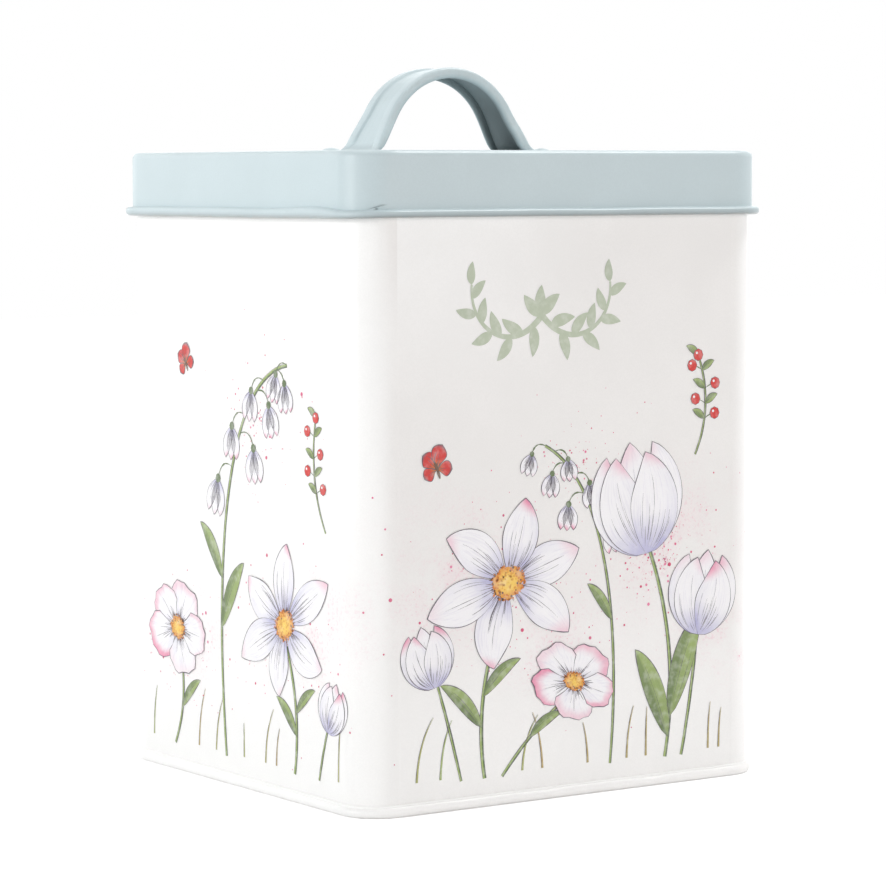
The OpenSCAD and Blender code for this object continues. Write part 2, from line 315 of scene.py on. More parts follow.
def wall_offset(tin, along, up):
    """Distance of the outer wall from its true outline: slow waves that fade out
    at the corners and ends, a front and back that sink at a crease beside each
    corner, and the groove of the back seam."""
    along, up = np.broadcast_arrays(along, up)
    flat = 1 - corner_share(tin, along, 14)
    ends = smooth(0, 22, up) * (1 - smooth(tin.wall_top - 24, tin.wall_top - 2, up))
    waves = (
        wave(tin, along, 5, up / 31.0)
        + wave(tin, along, 4, 1.3 - up / 19.0)
        + 0.6 * wave(tin, along, 9, up / 47.0 + 0.7)
    )
    offset = tin.wave_height / 2 * waves * flat * ends
    half_run = tin.body_width / 2 - tin.corner_radius
    for face in (0, 2):
        inside = half_run - np.abs(face_distance(tin, along, face))
        offset = offset - tin.crease_depth * smooth(0.0, 0.9, inside)
    seam = np.abs(face_distance(tin, along, 2) + tin.seam_shift)
    return offset - tin.groove_depth * (1 - smooth(0.12, 0.2, seam))


def bell(value, middle, width):
    """A soft hump of height 1 round the middle."""
    return np.exp(-(((value - middle) / width) ** 2))


def panel_share(tin, along, up):
    """How much painted shade shows, in the deeper tone: a little of it half way up
    the front and back, less near the foot and at the upper left, which is left as a
    painted sheen, and more in a strip beside them that fades downwards."""
    half_run = tin.body_width / 2 - tin.corner_radius
    share = 0.0
    for face in (0, 2):
        across = face_distance(tin, along, face)
        inside = half_run - np.abs(across)
        upper_left_sheen = smooth(100, 160, up) * smooth(20, -45, across)
        tone = (0.06 + 0.3 * smooth(15, 80, up)) * (1 - 0.95 * upper_left_sheen)
        strip = bell(inside, -0.8, 3.6) * smooth(130, 168, up) * (across < 0)
        share = share + tone * smooth(-6.0, 0.7, inside) + 0.45 * strip * smooth(0.4, 0.0, inside)
    return share


def wall_stations(tin):
    """The columns of the wall, with more at the creases and the back seam."""
    marks = outline(tin)
    half_run = tin.body_width / 2 - tin.corner_radius
    crease = half_run - np.array([0.15, 0.3, 0.45, 0.6, 0.75, 0.9, 1.3])
    back = marks.whole / 2
    seam = back - tin.seam_shift + np.array([-0.4, -0.2, -0.12, 0.12, 0.2, 0.4])
    return stations(tin, np.concatenate([crease, -crease, back + crease, back - crease, seam]))


def arc(x, z, radius, start, end, count):
    """Points on an arc of a profile, its angles in degrees from outwards."""
    turn = np.radians(np.linspace(start, end, count))
    return np.stack([x + radius * np.cos(turn), z + radius * np.sin(turn)], axis=-1)


def slope(start, end, count):
    """Points from start to end along an S curve, level at both ends."""
    share = np.linspace(0, 1, count)
    x = start[0] + share * (end[0] - start[0])
    z = start[1] + smooth(0, 1, share) * (end[1] - start[1])
    return np.stack([x, z], axis=-1)


def line(*points, step=None):
    """Points along straight legs, at most a step apart."""
    parts = []
    for start, end in zip(points[:-1], points[1:]):
        start, end = np.array(start, float), np.array(end, float)
        count = 1 if step is None else max(1, math.ceil(np.linalg.norm(end - start) / step))
        share = np.linspace(0, 1, count, endpoint=False)[:, None]
        parts.append(start + share * (end - start))
    return np.concatenate(parts + [np.array([points[-1]], float)])


# Meshes

def grid_faces(rows, columns, join_rows=False, join_columns=False):
    """Four-sided faces of a grid of points, joined up round either way."""
    row = np.arange(rows if join_rows else rows - 1)[:, None]
    column = np.arange(columns if join_columns else columns - 1)[None, :]
    next_row = (row + 1) % rows
    next_column = (column + 1) % columns
    corners = [
        row * columns + column,
        row * columns + next_column,
        next_row * columns + next_column,
        next_row * columns + column,
    ]
    return np.stack(np.broadcast_arrays(*corners), axis=-1).reshape(-1, 4)


def add_values(mesh, name, values):
    """Stores one number, or one vector, for each point of the mesh."""
    values = np.asarray(values, np.float32)
    if values.ndim == 1:
        mesh.attributes.new(name, "FLOAT", "POINT").data.foreach_set("value", values)
    elif values.shape[1] == 3:
        mesh.attributes.new(name, "FLOAT_VECTOR", "POINT").data.foreach_set("vector", values.ravel())
    else:
        mesh.attributes.new(name, "FLOAT_COLOR", "POINT").data.foreach_set("color", values.ravel())


def new_piece(mesh, body):
    """Puts a finished mesh into the scene, and lets it ride on its body."""
    piece = bpy.data.objects.new(mesh.name, mesh)
    bpy.context.scene.collection.objects.link(piece)
    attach(piece, body)
    return piece


def make_mesh(name, points, faces, material, values, sharp=50.0, closed=True):
    """A smooth mesh from points in millimetres, with values for each point. A
    closed one has its doubled points merged and its faces turned outwards."""
    mesh = bpy.data.meshes.new(name)
    mesh.from_pydata((points.reshape(-1, 3) * MM).tolist(), [], faces.tolist())
    for title, numbers in values.items():
        add_values(mesh, title, numbers)
    if closed:
        shape = bmesh.new()
        shape.from_mesh(mesh)
        bmesh.ops.remove_doubles(shape, verts=shape.verts, dist=0.002 * MM)
        bmesh.ops.recalc_face_normals(shape, faces=shape.faces)
        shape.to_mesh(mesh)
        shape.free()
    mesh.polygons.foreach_set("use_smooth", np.ones(len(mesh.polygons), bool))
    mesh.set_sharp_from_angle(angle=math.radians(sharp))
    mesh.materials.append(material)
    mesh.update()
    return mesh


def swept_piece(name, points, material, values, is_loop=False, sharp=50.0):
    """Makes a piece from a grid of points joined up across, and down as well if
    it is a loop. It stands for the node that PIECE_NODES names."""
    node, body, slot = PIECE_NODES[name]
    grid = points.shape[:2]
    spread = {title: np.broadcast_to(value, grid).ravel() for title, value in values.items()}
    faces = grid_faces(*grid, join_rows=is_loop, join_columns=True)
    mesh = make_mesh(name, points, faces, material, spread, sharp)
    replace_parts(new_piece(mesh, body), node)


PIECE_NODES = {
    "wall": ("body_shell", "tin", "white_enamel"),
    "base": ("base_pan", "tin", "white_enamel"),
    "lid": ("lid_shell", "lid", "lid_enamel"),
    "handle": ("handle_strap", "lid", "lid_enamel"),
}


# Shader nodes

class Tree:
    """Adds nodes to one node tree. An input is a plain value or another node's
    output socket, and is named or counted."""

    def __init__(self, tree):
        self.tree = tree

    def add(self, kind, inputs=None, **settings):
        made = self.tree.nodes.new(kind)
        for name, value in settings.items():
            setattr(made, name, value)
        for name, value in (inputs or {}).items():
            if isinstance(value, bpy.types.NodeSocket):
                self.tree.links.new(value, made.inputs[name])
            else:
                made.inputs[name].default_value = value
        return made

    def group(self, group_tree, inputs):
        """A node of a shader group."""
        return self.add("ShaderNodeGroup", inputs, node_tree=group_tree)

    def math(self, operation, first, second=0.0, clamp=False):
        inputs = {0: first, 1: second}
        return self.add("ShaderNodeMath", inputs, operation=operation, use_clamp=clamp).outputs[0]

    def mix(self, share, first, second, blend="MIX"):
        """Mixes two colours."""
        inputs = {0: share, 6: first, 7: second}
        return self.add("ShaderNodeMix", inputs, data_type="RGBA", blend_type=blend).outputs[2]

    def step(self, low, high, value, low_out=0.0, high_out=1.0):
        """A smooth rise between two values."""
        inputs = {0: value, 1: low, 2: high, 3: low_out, 4: high_out}
        return self.add("ShaderNodeMapRange", inputs, interpolation_type="SMOOTHSTEP").outputs[0]

    def noise(self, vector, scale, detail=2.0, roughness=0.5):
        """A noise value of about 0 to 1."""
        inputs = {"Vector": vector, "Scale": scale, "Detail": detail, "Roughness": roughness}
        return self.add("ShaderNodeTexNoise", inputs).outputs[0]

    def place(self):
        """Object coordinates, in metres."""
        return self.add("ShaderNodeTexCoord").outputs["Object"]

    def value(self, name):
        """A number stored on the mesh's points."""
        return self.add("ShaderNodeAttribute", attribute_name=name).outputs["Fac"]


def with_alpha(colours):
    """Rows of colours with an alpha of one."""
    return np.concatenate([colours, np.ones((len(colours), 1))], axis=1)


def rgba(values, share=1.0):
    """A property's colour, times a share, with an alpha of one."""
    return (*(share * value for value in values), 1.0)


def bare_tree(owner):
    """The emptied node tree of a material or world."""
    owner.use_nodes = True
    owner.node_tree.nodes.clear()
    return Tree(owner.node_tree)


def shader_group(name, inputs, outputs, fill):
    """A node group with named sockets, built once. The fill function is given
    the tree, the input sockets and returns its outputs by name."""
    tree = bpy.data.node_groups.get(name)
    if tree:
        return tree
    tree = bpy.data.node_groups.new(name, "ShaderNodeTree")
    for title, kind in inputs.items():
        tree.interface.new_socket(title, in_out="INPUT", socket_type=kind)
    for title, kind in outputs.items():
        tree.interface.new_socket(title, in_out="OUTPUT", socket_type=kind)
    entry = tree.nodes.new("NodeGroupInput")
    leaving = tree.nodes.new("NodeGroupOutput")
    for title, socket in fill(Tree(tree), entry.outputs).items():
        tree.links.new(socket, leaving.inputs[title])
    return tree


def powder_coat():
    """Orange peel, a few sunk-in specks and slow changes of tone and gloss."""

    def fill(tree, given):
        place = tree.place()
        peel = tree.noise(place, tree.math("DIVIDE", 1.0, given["Peel Size"]), detail=2.5)
        cloud = tree.noise(place, 55.0, detail=3.0)
        cells = tree.add("ShaderNodeTexVoronoi", {"Vector": place, "Scale": 140.0})
        near = tree.math("SUBTRACT", 1.0, tree.step(0.03, 0.09, cells.outputs["Distance"]))
        chosen = tree.math("GREATER_THAN", cells.outputs["Color"], 0.72)
        speck = tree.math("MULTIPLY", near, chosen)
        height = tree.math("ADD", peel, tree.math("MULTIPLY", speck, 0.9))
        bump = tree.add("ShaderNodeBump", {"Distance": given["Peel Depth"], "Height": height})
        grain = tree.noise(place, 2200.0, detail=2.0)
        tone = tree.math("ADD", tree.step(0.3, 0.7, cloud, 0.0, 0.6), tree.step(0.35, 0.65, grain, 0.0, 0.7))
        deeper = tree.mix(1.0, given["Colour"], (0.968, 0.969, 0.968, 1.0), "MULTIPLY")
        clouds = tree.math("MULTIPLY", tree.math("SUBTRACT", cloud, 0.5), 0.12)
        gloss = tree.math("ADD", given["Roughness"], clouds)
        colour = tree.mix(tone, given["Colour"], deeper)
        dimples = tree.math("MULTIPLY", tree.math("SUBTRACT", peel, 0.5), 0.1)
        return {
            "Colour": colour,
            "Roughness": tree.math("ADD", gloss, dimples),
            "Normal": bump.outputs[0],
        }

    return shader_group(
        "Powder coat",
        {
            "Colour": "NodeSocketColor",
            "Roughness": "NodeSocketFloat",
            "Peel Size": "NodeSocketFloat",
            "Peel Depth": "NodeSocketFloat",
        },
        {"Colour": "NodeSocketColor", "Roughness": "NodeSocketFloat", "Normal": "NodeSocketVector"},
        fill,
    )


def rubbed_edges():
    """A faint brownish film by the mesh's wear and shade value, broken up by noise:
    rubbing on the handle's edges, a painted shadow line along the foot of the lid's
    curl, and a darker line low on the wall where it meets the bead's lip and along
    the bottom of the bead."""

    def fill(tree, given):
        place = tree.place()
        broken = tree.noise(place, 420.0, detail=4.0, roughness=0.65)
        mask = tree.math("MULTIPLY", tree.value("WearAndShade"), tree.step(0.25, 0.65, broken))
        share = tree.math("MULTIPLY", mask, given["Amount"], clamp=True)
        return {"Colour": tree.mix(share, given["Colour"], given["Film"]), "Mask": share}

    return shader_group(
        "Rubbed edges and painted shade",
        {"Colour": "NodeSocketColor", "Film": "NodeSocketColor", "Amount": "NodeSocketFloat"},
        {"Colour": "NodeSocketColor", "Mask": "NodeSocketFloat"},
        fill,
    )


def new_material(name):
    """An empty material with a Principled shader on its output."""
    material = bpy.data.materials.new(name)
    tree = bare_tree(material)
    shader = tree.add("ShaderNodeBsdfPrincipled")
    tree.add("ShaderNodeOutputMaterial", {"Surface": shader.outputs[0]})
    return material, tree, shader


def feed(tree, shader, **sockets):
    """Links sockets to the shader's inputs, an underscore standing for a space."""
    for name, socket in sockets.items():
        tree.tree.links.new(socket, shader.inputs[name.replace("_", " ")])


def coated(name, base, roughness, wear_and_shade, finish, extra=None):
    """A powder-coated sheet. The extra function may change its colour before the
    rubbed edges with their painted shade and the coat go over it."""
    material, tree, shader = new_material(name)
    if extra:
        base = extra(tree, base)
    rubbed = tree.group(rubbed_edges(), {"Colour": base, "Film": rgba(finish.grime), "Amount": wear_and_shade})
    coat_over(tree, shader, rubbed.outputs["Colour"], roughness, finish)
    return material


def coat_over(tree, shader, under, roughness, finish):
    """Puts the powder coat over a colour, and feeds the shader from it."""
    coat = tree.group(powder_coat(), {
        "Colour": under,
        "Roughness": roughness,
        "Peel Size": finish.peel_size * MM,
        "Peel Depth": finish.peel_depth * MM,
    })
    shader.inputs["Specular IOR Level"].default_value = 0.42
    feed(
        tree,
        shader,
        Base_Color=coat.outputs["Colour"],
        Roughness=coat.outputs["Roughness"],
        Normal=coat.outputs["Normal"],
    )


def reuse(name, build):
    """The material of that name, built the first time it is asked for."""
    return bpy.data.materials.get(name) or build()


def white_coat(scene):
    """The body's coat: painted shade in a warmer tone on the front and back panels,
    and soft pink washes with a stippled edge."""
    finish = in_mm(scene.seed_tin_finish)
    inks = scene.seed_tin_inks

    def printed(tree, base):
        place = tree.place()
        # Painted shade: the Panel value mixes in the deeper tone of the front and back
        panel_shaded = tree.mix(tree.value("Panel"), base, rgba(finish.panel))
        wash = tree.value("Wash")
        cloud = tree.step(0.3, 0.7, tree.noise(place, 95.0, detail=3.0))
        fine = tree.noise(place, 900.0, detail=3.0, roughness=0.6)
        soft = tree.math("MULTIPLY", wash, tree.math("MULTIPLY", cloud, 0.13))
        stipple = tree.math("MULTIPLY", tree.step(0.54, 0.62, fine), tree.math("MULTIPLY", wash, 0.3))
        amount = tree.math("ADD", soft, tree.math("MULTIPLY", stipple, cloud), clamp=True)
        return tree.mix(amount, panel_shaded, rgba(inks.pink))

    return reuse(
        "White powder coat",
        lambda: coated("White powder coat", rgba(finish.white), 0.36, 0.35, finish, printed),
    )


def lid_coat(scene):
    """The lid's coat, darker by painted shade where the mesh's Shade value says."""
    finish = in_mm(scene.seed_tin_finish)

    def shaded(tree, base):
        dark = rgba(finish.duck_egg, finish.thin_coat)
        return tree.mix(tree.value("Shade"), base, dark)

    return reuse(
        "Duck-egg powder coat",
        lambda: coated("Duck-egg powder coat", rgba(finish.duck_egg), 0.38, 0.3, finish, shaded),
    )


def printed_ink(scene):
    """Litho ink in the mesh's Ink colours, streaked along each stroke and mottled
    like watercolour, with the body's coat over it."""
    finish = in_mm(scene.seed_tin_finish)
    material, tree, shader = new_material("Printed ink")
    ink = tree.add("ShaderNodeAttribute", attribute_name="Ink").outputs["Color"]
    stroke = tree.add("ShaderNodeAttribute", attribute_name="Stroke").outputs["Vector"]
    stretched = tree.add("ShaderNodeMapping", {"Vector": stroke, "Scale": (1.6, 5.5, 1.0)}).outputs[0]
    streak = tree.step(0.5, 0.66, tree.noise(stretched, 2.2, detail=3.0))
    mottle = tree.step(0.4, 0.75, tree.noise(tree.place(), 420.0, detail=3.0))
    darker = tree.mix(1.0, ink, (0.74, 0.72, 0.82, 1.0), "MULTIPLY")
    streaked = tree.mix(tree.math("MULTIPLY", streak, 0.3), ink, darker)
    paler = tree.mix(tree.math("MULTIPLY", mottle, 0.22), streaked, rgba(finish.white))
    coat_over(tree, shader, paler, 0.38, finish)
    return material


# Body, base, lid and handle

class SEEDTIN_OT_wall(bpy.types.Operator):
    """Builds the wrapped wall with its folded rim, creases and back seam"""

    bl_idname = "seed_tin.wall"
    bl_label = "Wall"

    def execute(self, context):
        scene = context.scene
        tin = in_mm(scene.seed_tin_body)
        fold = tin.sheet
        fold_z, hem_foot = tin.wall_top - fold, tin.wall_top - tin.hem_height
        profile = np.concatenate([
            line((0, tin.wall_foot), (0, fold_z), step=3.0),
            arc(-fold, fold_z, fold, 15, 180, 9),
            line((-2 * fold, fold_z - 0.2), (-2 * fold, hem_foot), step=2.0),
            line((-fold - 0.02, hem_foot - 0.1), (-fold, tin.wall_foot), step=12.0),
        ])
        along = wall_stations(tin)[None, :]
        out, up = profile[:, :1], profile[:, 1:]
        points = wrap(tin, along, out + wall_offset(tin, along, up), up)
        is_outside = (np.arange(len(profile)) < np.argmax(profile[:, 1]))[:, None]
        lip_top = tin.lip_height + tin.lip_radius
        values = {
            # A faint film low on the wall just above the bead's lip; the Panel value is the painted shade of
            # the front and back panels
            "WearAndShade": (1 - smooth(lip_top - 0.56, lip_top + 0.74, up)) * is_outside,
            "Wash": wash_at(tin, along, up) * is_outside,
            "Panel": panel_share(tin, along, up) * is_outside,
        }
        swept_piece("wall", points, white_coat(scene), values, is_loop=True)
        return {"FINISHED"}


class SEEDTIN_OT_base(bpy.types.Operator):
    """Builds the base pan with its rolled foot bead"""

    bl_idname = "seed_tin.base"
    bl_label = "Base pan"

    def execute(self, context):
        scene = context.scene
        tin = in_mm(scene.seed_tin_body)
        bead, top = tin.bead_radius, tin.floor_height
        bead_x, bead_z = tin.bead_out - bead, bead - tin.bead_flat
        pan = top - tin.sheet
        inner = bead_x - bead - tin.pan_bevel
        profile = np.concatenate([
            arc(0.1, tin.lip_height, tin.lip_radius, 120, -20, 12),
            arc(bead_x, bead_z, bead, 58, -180, 40),
            line((bead_x - bead, pan - tin.pan_bevel), (inner, pan)),
        ])
        profile[:, 1] = np.maximum(profile[:, 1], 0.0)
        rings = np.array([0.97, 0.8, 0.55, 0.3, 0.0])
        pan_rows = [(inner, pan)] * len(rings) + [(inner, top)] * len(rings)
        wall_side = [(-0.6, top), (-0.3, top - 0.2)]
        out, up = np.concatenate([profile, pan_rows, wall_side]).T[..., None]
        shrink = np.concatenate([np.ones(len(profile)), rings, rings[::-1], np.ones(len(wall_side))])
        along = stations(tin)[None, :]
        ripple = wave(tin, along, 16) + wave(tin, along, 10, 0.9) + 0.7 * wave(tin, along, 26, 2.0)
        ripple = ripple * bell(up, tin.lip_height - 0.29, 0.55) * (out > 0.1)
        points = wrap(tin, along, out + 0.035 * ripple, up + 0.07 * ripple)
        points[..., :2] *= shrink[:, None, None]
        # A darker film along the very bottom of the bead
        low = 0.7 * (1 - smooth(0.05, 0.7, up)) * (out > bead_x - bead + 0.05)
        values = {"WearAndShade": low, "Wash": 0.0, "Panel": 0.0}
        swept_piece("base", points, white_coat(scene), values, is_loop=True)
        return {"FINISHED"}


class SEEDTIN_OT_lid(bpy.types.Operator):
    """Builds the pressed lid with its sunk panel, skirt and curled edge"""

    bl_idname = "seed_tin.lid"
    bl_label = "Lid"

    def execute(self, context):
        scene = context.scene
        tin, lid = in_mm(scene.seed_tin_body), in_mm(scene.seed_tin_lid)
        cut = lid_profile(tin, lid)
        foot, curl_top = cut.foot, cut.curl_top
        along = stations(tin, lid_crumple_place(tin) + np.arange(-2.6, 2.8, 0.12))[None, :]
        front = front_share(tin, along)
        is_curl = (cut.up < curl_top + 0.2) & (cut.out > cut.skirt + 0.05)
        is_skirt = np.abs(cut.out - cut.skirt) < 0.1
        dip = lid_dip(tin, lid, along, front)
        share = np.clip((cut.up - foot) / (curl_top - foot), 0, 1)
        dipping = share * np.where(is_curl, 1.0, 1 - smooth(curl_top, curl_top + 2.6, cut.up))
        up = cut.up + lid.curl_lift * (1 + front) * (1 - share) - dip * dipping
        crumple = lid_crumple(tin, along, up, curl_top - dip) * is_skirt
        points = wrap(tin, along, cut.out + crumple, up)
        points[..., :2] *= cut.shrink[..., None]

        # Painted shade in the Shade value: the whole inside and the curl's underside darker, the curl's lower
        # face darker, most along the front and back, the skirt a little darker along the front and back, and
        # the crumple's dents darker
        side = 1 - smooth(cut.edge_z + 0.5 * lid.edge_radius, lid.border_height, cut.up)
        below = (1 - smooth(foot + 0.2, foot + 1.9, cut.up)) * (cut.out > cut.skirt) + cut.is_inside
        curl_face = is_curl * (1 - smooth(curl_top - 1.1, curl_top - 0.25, cut.up))
        thin = 0.5 * below + (0.04 + 0.3 * front) * curl_face + 0.06 * front * side * (1 - is_curl)
        values = {
            # The wear value here is a painted shadow line along the foot of the curl
            "WearAndShade": 1 - smooth(foot + 0.1, foot + 1.0, cut.up),
            "Shade": thin + np.clip(-3 * crumple, 0, 0.7),
        }
        swept_piece("lid", points, lid_coat(scene), values)
        return {"FINISHED"}


def lid_profile(tin, lid):
    """The lid cut across, from the middle of its panel over the border and down
    the skirt to the curl, and back inside. Each row has its distance outwards,
    its height and its share of the way from the middle to the outline."""
    skirt = lid.gap + tin.sheet
    foot = lid.border_height - lid.skirt_height
    edge_x, edge_z = skirt - lid.edge_radius, lid.border_height - lid.edge_radius
    curl_x, curl_low = lid.gap + lid.curl_radius, foot + lid.curl_radius
    curl_top = foot + lid.curl_height
    border_end = edge_x - lid.border_width
    panel_edge, panel = border_end - lid.step_run, lid.border_height - lid.panel_sink
    outside = np.concatenate([
        slope((panel_edge, panel), (border_end, lid.border_height), 9),
        line((border_end + 0.3, lid.border_height), (edge_x, lid.border_height), step=1.2)[:-1],
        arc(edge_x, edge_z, lid.edge_radius, 90, 0, 14),
        line((skirt, edge_z - 0.4), (skirt, curl_top + 1.6), step=1.5),
        line((skirt, curl_top + 1.45), (skirt, curl_top + 0.25), step=0.15),
        line((skirt + 0.06, curl_top + 0.08), (skirt + 0.25, curl_top)),
        arc(curl_x, curl_top - lid.curl_radius, lid.curl_radius, 90, 0, 14),
        arc(curl_x, curl_low, lid.curl_radius, -6, -174, 18),
    ])
    inside = np.concatenate([
        line((lid.gap, curl_low + 0.2), (lid.gap, edge_z), step=3.0),
        arc(edge_x, edge_z, lid.edge_radius - tin.sheet, 0, 90, 8)[1:],
        slope((border_end, lid.border_height - tin.sheet), (panel_edge, panel - tin.sheet), 7),
    ])
    rings = np.array([0.0, 0.25, 0.5, 0.75, 0.93])
    top, under = [(panel_edge, panel)] * len(rings), [(panel_edge, panel - tin.sheet)] * len(rings)
    out, up = np.concatenate([top, outside, inside, under]).T[..., None]
    shrink = np.concatenate([rings, np.ones(len(outside) + len(inside)), rings[::-1]])
    return SimpleNamespace(
        out=out,
        up=up,
        shrink=shrink[:, None],
        is_inside=np.arange(len(out))[:, None] >= len(top) + len(outside),
        skirt=skirt,
        foot=foot,
        edge_z=edge_z,
        curl_top=curl_top,
    )


def lid_dip(tin, lid, along, front):
    """How much lower the curl's top is: along the front and back, and most at the
    near corner, with a swell just before it and a slight ripple all round."""
    bend_start = outline(tin).along[7]
    corner = bell(along, bend_start + 3.8, 4.5)
    swell = bell(along, bend_start - 12, 8)
    ripple = 0.05 * (wave(tin, along, 13) + wave(tin, along, 8, 1.0))
    return lid.corner_dip * corner + lid.front_dip * front - lid.side_swell * swell + ripple


def front_share(tin, along):
    """1 along the front and back, falling to 0 round the corners."""
    marks = outline(tin)
    half_run = tin.body_width / 2 - tin.corner_radius
    across = [np.abs(face_distance(tin, along, face)) for face in (0, 2)]
    return 1 - smooth(half_run, half_run + marks.bend, np.minimum(*across))


def lid_crumple_place(tin):
    """Where the pressed sheet has crumpled a little, beside the near corner."""
    marks = outline(tin)
    return marks.along[7] + 0.66 * marks.bend


def lid_crumple(tin, along, up, curl_top):
    """A crack and small folds in the skirt just above the curl. Each is a hump
    or dent along a slanting line, given by its middle's shift along and rise
    above the curl, the line's slope, its depth, half its length and width."""
    folds = (
        (0.0, 0.8, 0.27, -0.28, 1.6, 0.15),
        (0.1, 0.5, 0.27, 0.2, 1.5, 0.2),
        (0.0, 0.3, 0.0, -0.42, 0.36, 0.2),
        (1.5, 1.35, 0.1, -0.16, 1.0, 0.14),
        (2.6, 0.5, 0.14, 0.16, 1.3, 0.26),
    )
    total = 0.0
    for shift, rise, slant, height, half_length, thin in folds:
        apart = along - lid_crumple_place(tin) - shift
        above = up - curl_top - rise - slant * apart
        total = total + height * bell(apart, 0, half_length) * bell(above, 0, thin)
    return total


class SEEDTIN_OT_handle(bpy.types.Operator):
    """Builds the arched strap handle with its rolled rims and flat feet"""

    bl_idname = "seed_tin.handle"
    bl_label = "Handle"

    def execute(self, context):
        scene = context.scene
        size = in_mm(scene.seed_tin_handle)
        strap = handle_path(size)
        section, under = strap_sections(size, strap)
        height = section[..., 1]
        x = strap.path[:, :1] + strap.normal[:, :1] * height
        z = strap.path[:, 1:] + strap.normal[:, 1:] * height
        points = np.stack([x, section[..., 0], z], axis=-1)
        inside = strap.half[:, None] - np.abs(section[..., 0])
        edge = 1 - smooth(0.0, 0.9, inside)
        # Painted shade in the Shade value: the underside dark, less so towards the crest, and a faint line in
        # the groove beside each rim. The streaks are faint random lines of the coat along the strap.
        groove = bell(inside, 4.3, 0.7) * strap.rimmed[:, None]
        streak = 0.05 * np.sin(4.1 * section[..., 0]) * np.sin(1.7 * section[..., 0] + 0.6)
        crest = smooth(size.crest_top - 16, size.crest_top, z)
        below = under * (1 - 0.3 * crest)
        shade = np.maximum(below, 0.05 * groove * (section[..., 1] >= -0.1) + streak)
        values = {"WearAndShade": 0.35 * edge, "Shade": np.clip(shade, 0, 1)}
        swept_piece("handle", points, lid_coat(scene), values, sharp=60)
        return {"FINISHED"}


def handle_path(size):
    """The strap's upper face from the left foot to the right one: points and
    outward normals, half the strap's width, the depth of its edges and how far
    its rims stand up."""
    right = half_path(size)
    x = right.points[:, 0]
    steps = np.linalg.norm(np.diff(right.points, axis=0), axis=1)
    travelled = np.concatenate([[0], np.cumsum(steps)])
    leg_at, bend_at = travelled[right.leg_start], travelled[right.bend_start]
    share = smooth(leg_at, bend_at, travelled)

    rivet_x, end_radius = size.rivet_spacing / 2, size.foot_end_radius
    bend_half = size.strap_width / 2 + size.foot_flare
    foot_share = np.clip((x - right.bend_x) / (rivet_x - right.bend_x), 0, 1)
    leg_width = size.strap_width / 2 + size.foot_flare * share
    foot_width = bend_half + (end_radius - bend_half) * foot_share
    width = np.where(foot_share > 0, foot_width, leg_width)
    width = width * np.sqrt(1 - np.clip((x - rivet_x) / end_radius, 0, 1) ** 2)
    mirror = np.array([-1.0, 1.0])

    def both(values, flip=1.0):
        return np.concatenate([values[:0:-1] * flip, values])

    return SimpleNamespace(
        path=both(right.points, mirror),
        normal=both(right.normals, mirror),
        half=both(width),
        depth=both(size.edge_depth + (size.edge_foot_depth - size.edge_depth) * share),
        rimmed=both(1 - smooth(bend_at - 1.0, bend_at + 5.5, travelled)),
    )


def half_path(size):
    """The right half of the strap's upper face, seen from the front: the crown's
    arc, a straight leg, a bend and a flat foot with a round end. Gives points
    and outward normals, and where among them the leg and the bend start."""
    lean, web = size.leg_lean, size.crown_radius - size.rim_rise
    crown_z = size.crest_top - size.crown_radius
    leg_top = np.array([web * math.cos(lean), crown_z + web * math.sin(lean)])
    down = np.array([math.sin(lean), -math.cos(lean)])
    drop = leg_top[1] - size.foot_top - size.foot_bend * (1 - math.sin(lean))
    leg = drop / math.cos(lean)
    bend_x = leg_top[0] + leg * math.sin(lean) + size.foot_bend * math.cos(lean)
    bend_z = size.foot_top + size.foot_bend
    rivet_x = size.rivet_spacing / 2

    crown_normal = arc(0, 0, 1, 90, math.degrees(lean), 30)
    bend_normal = arc(0, 0, 1, math.degrees(lean), 90, 12)
    crown = np.array([0, crown_z]) + web * crown_normal
    straight = leg_top + np.linspace(0, leg, 18)[1:-1, None] * down
    bend = np.array([bend_x, bend_z]) - size.foot_bend * bend_normal
    foot_x = np.concatenate([
        np.linspace(bend_x, rivet_x, 8)[1:-1],
        rivet_x + size.foot_end_radius * np.sin(np.linspace(0, math.pi / 2, 14)),
    ])
    foot = np.stack([foot_x, np.full(len(foot_x), size.foot_top)], axis=-1)
    leg_normal = np.tile(crown_normal[-1], (len(straight), 1))
    foot_normal = np.tile([0.0, 1.0], (len(foot), 1))
    return SimpleNamespace(
        points=np.concatenate([crown, straight, bend, foot]),
        normals=np.concatenate([crown_normal, leg_normal, bend_normal, foot_normal]),
        leg_start=len(crown) - 1,
        bend_start=len(crown) + len(straight),
        bend_x=bend_x,
    )


def strap_sections(size, strap):
    """The strap cut across at each place of its path, as a loop of points, and
    how much each belongs to its under side. The near edge gets deeper from the
    left foot to the right one."""
    skew = size.edge_skew * (strap.path[:, 0] / (size.rivet_spacing / 2 - size.foot_bend)) ** 3
    far, under = half_section(size, strap, strap.depth)
    near, _ = half_section(size, strap, strap.depth + np.clip(skew, -size.edge_skew, size.edge_skew))
    loop = np.concatenate([far, (near * [-1.0, 1.0])[:, ::-1][:, 1:-1]], axis=1)
    return loop, np.concatenate([under, under[::-1][1:-1]])


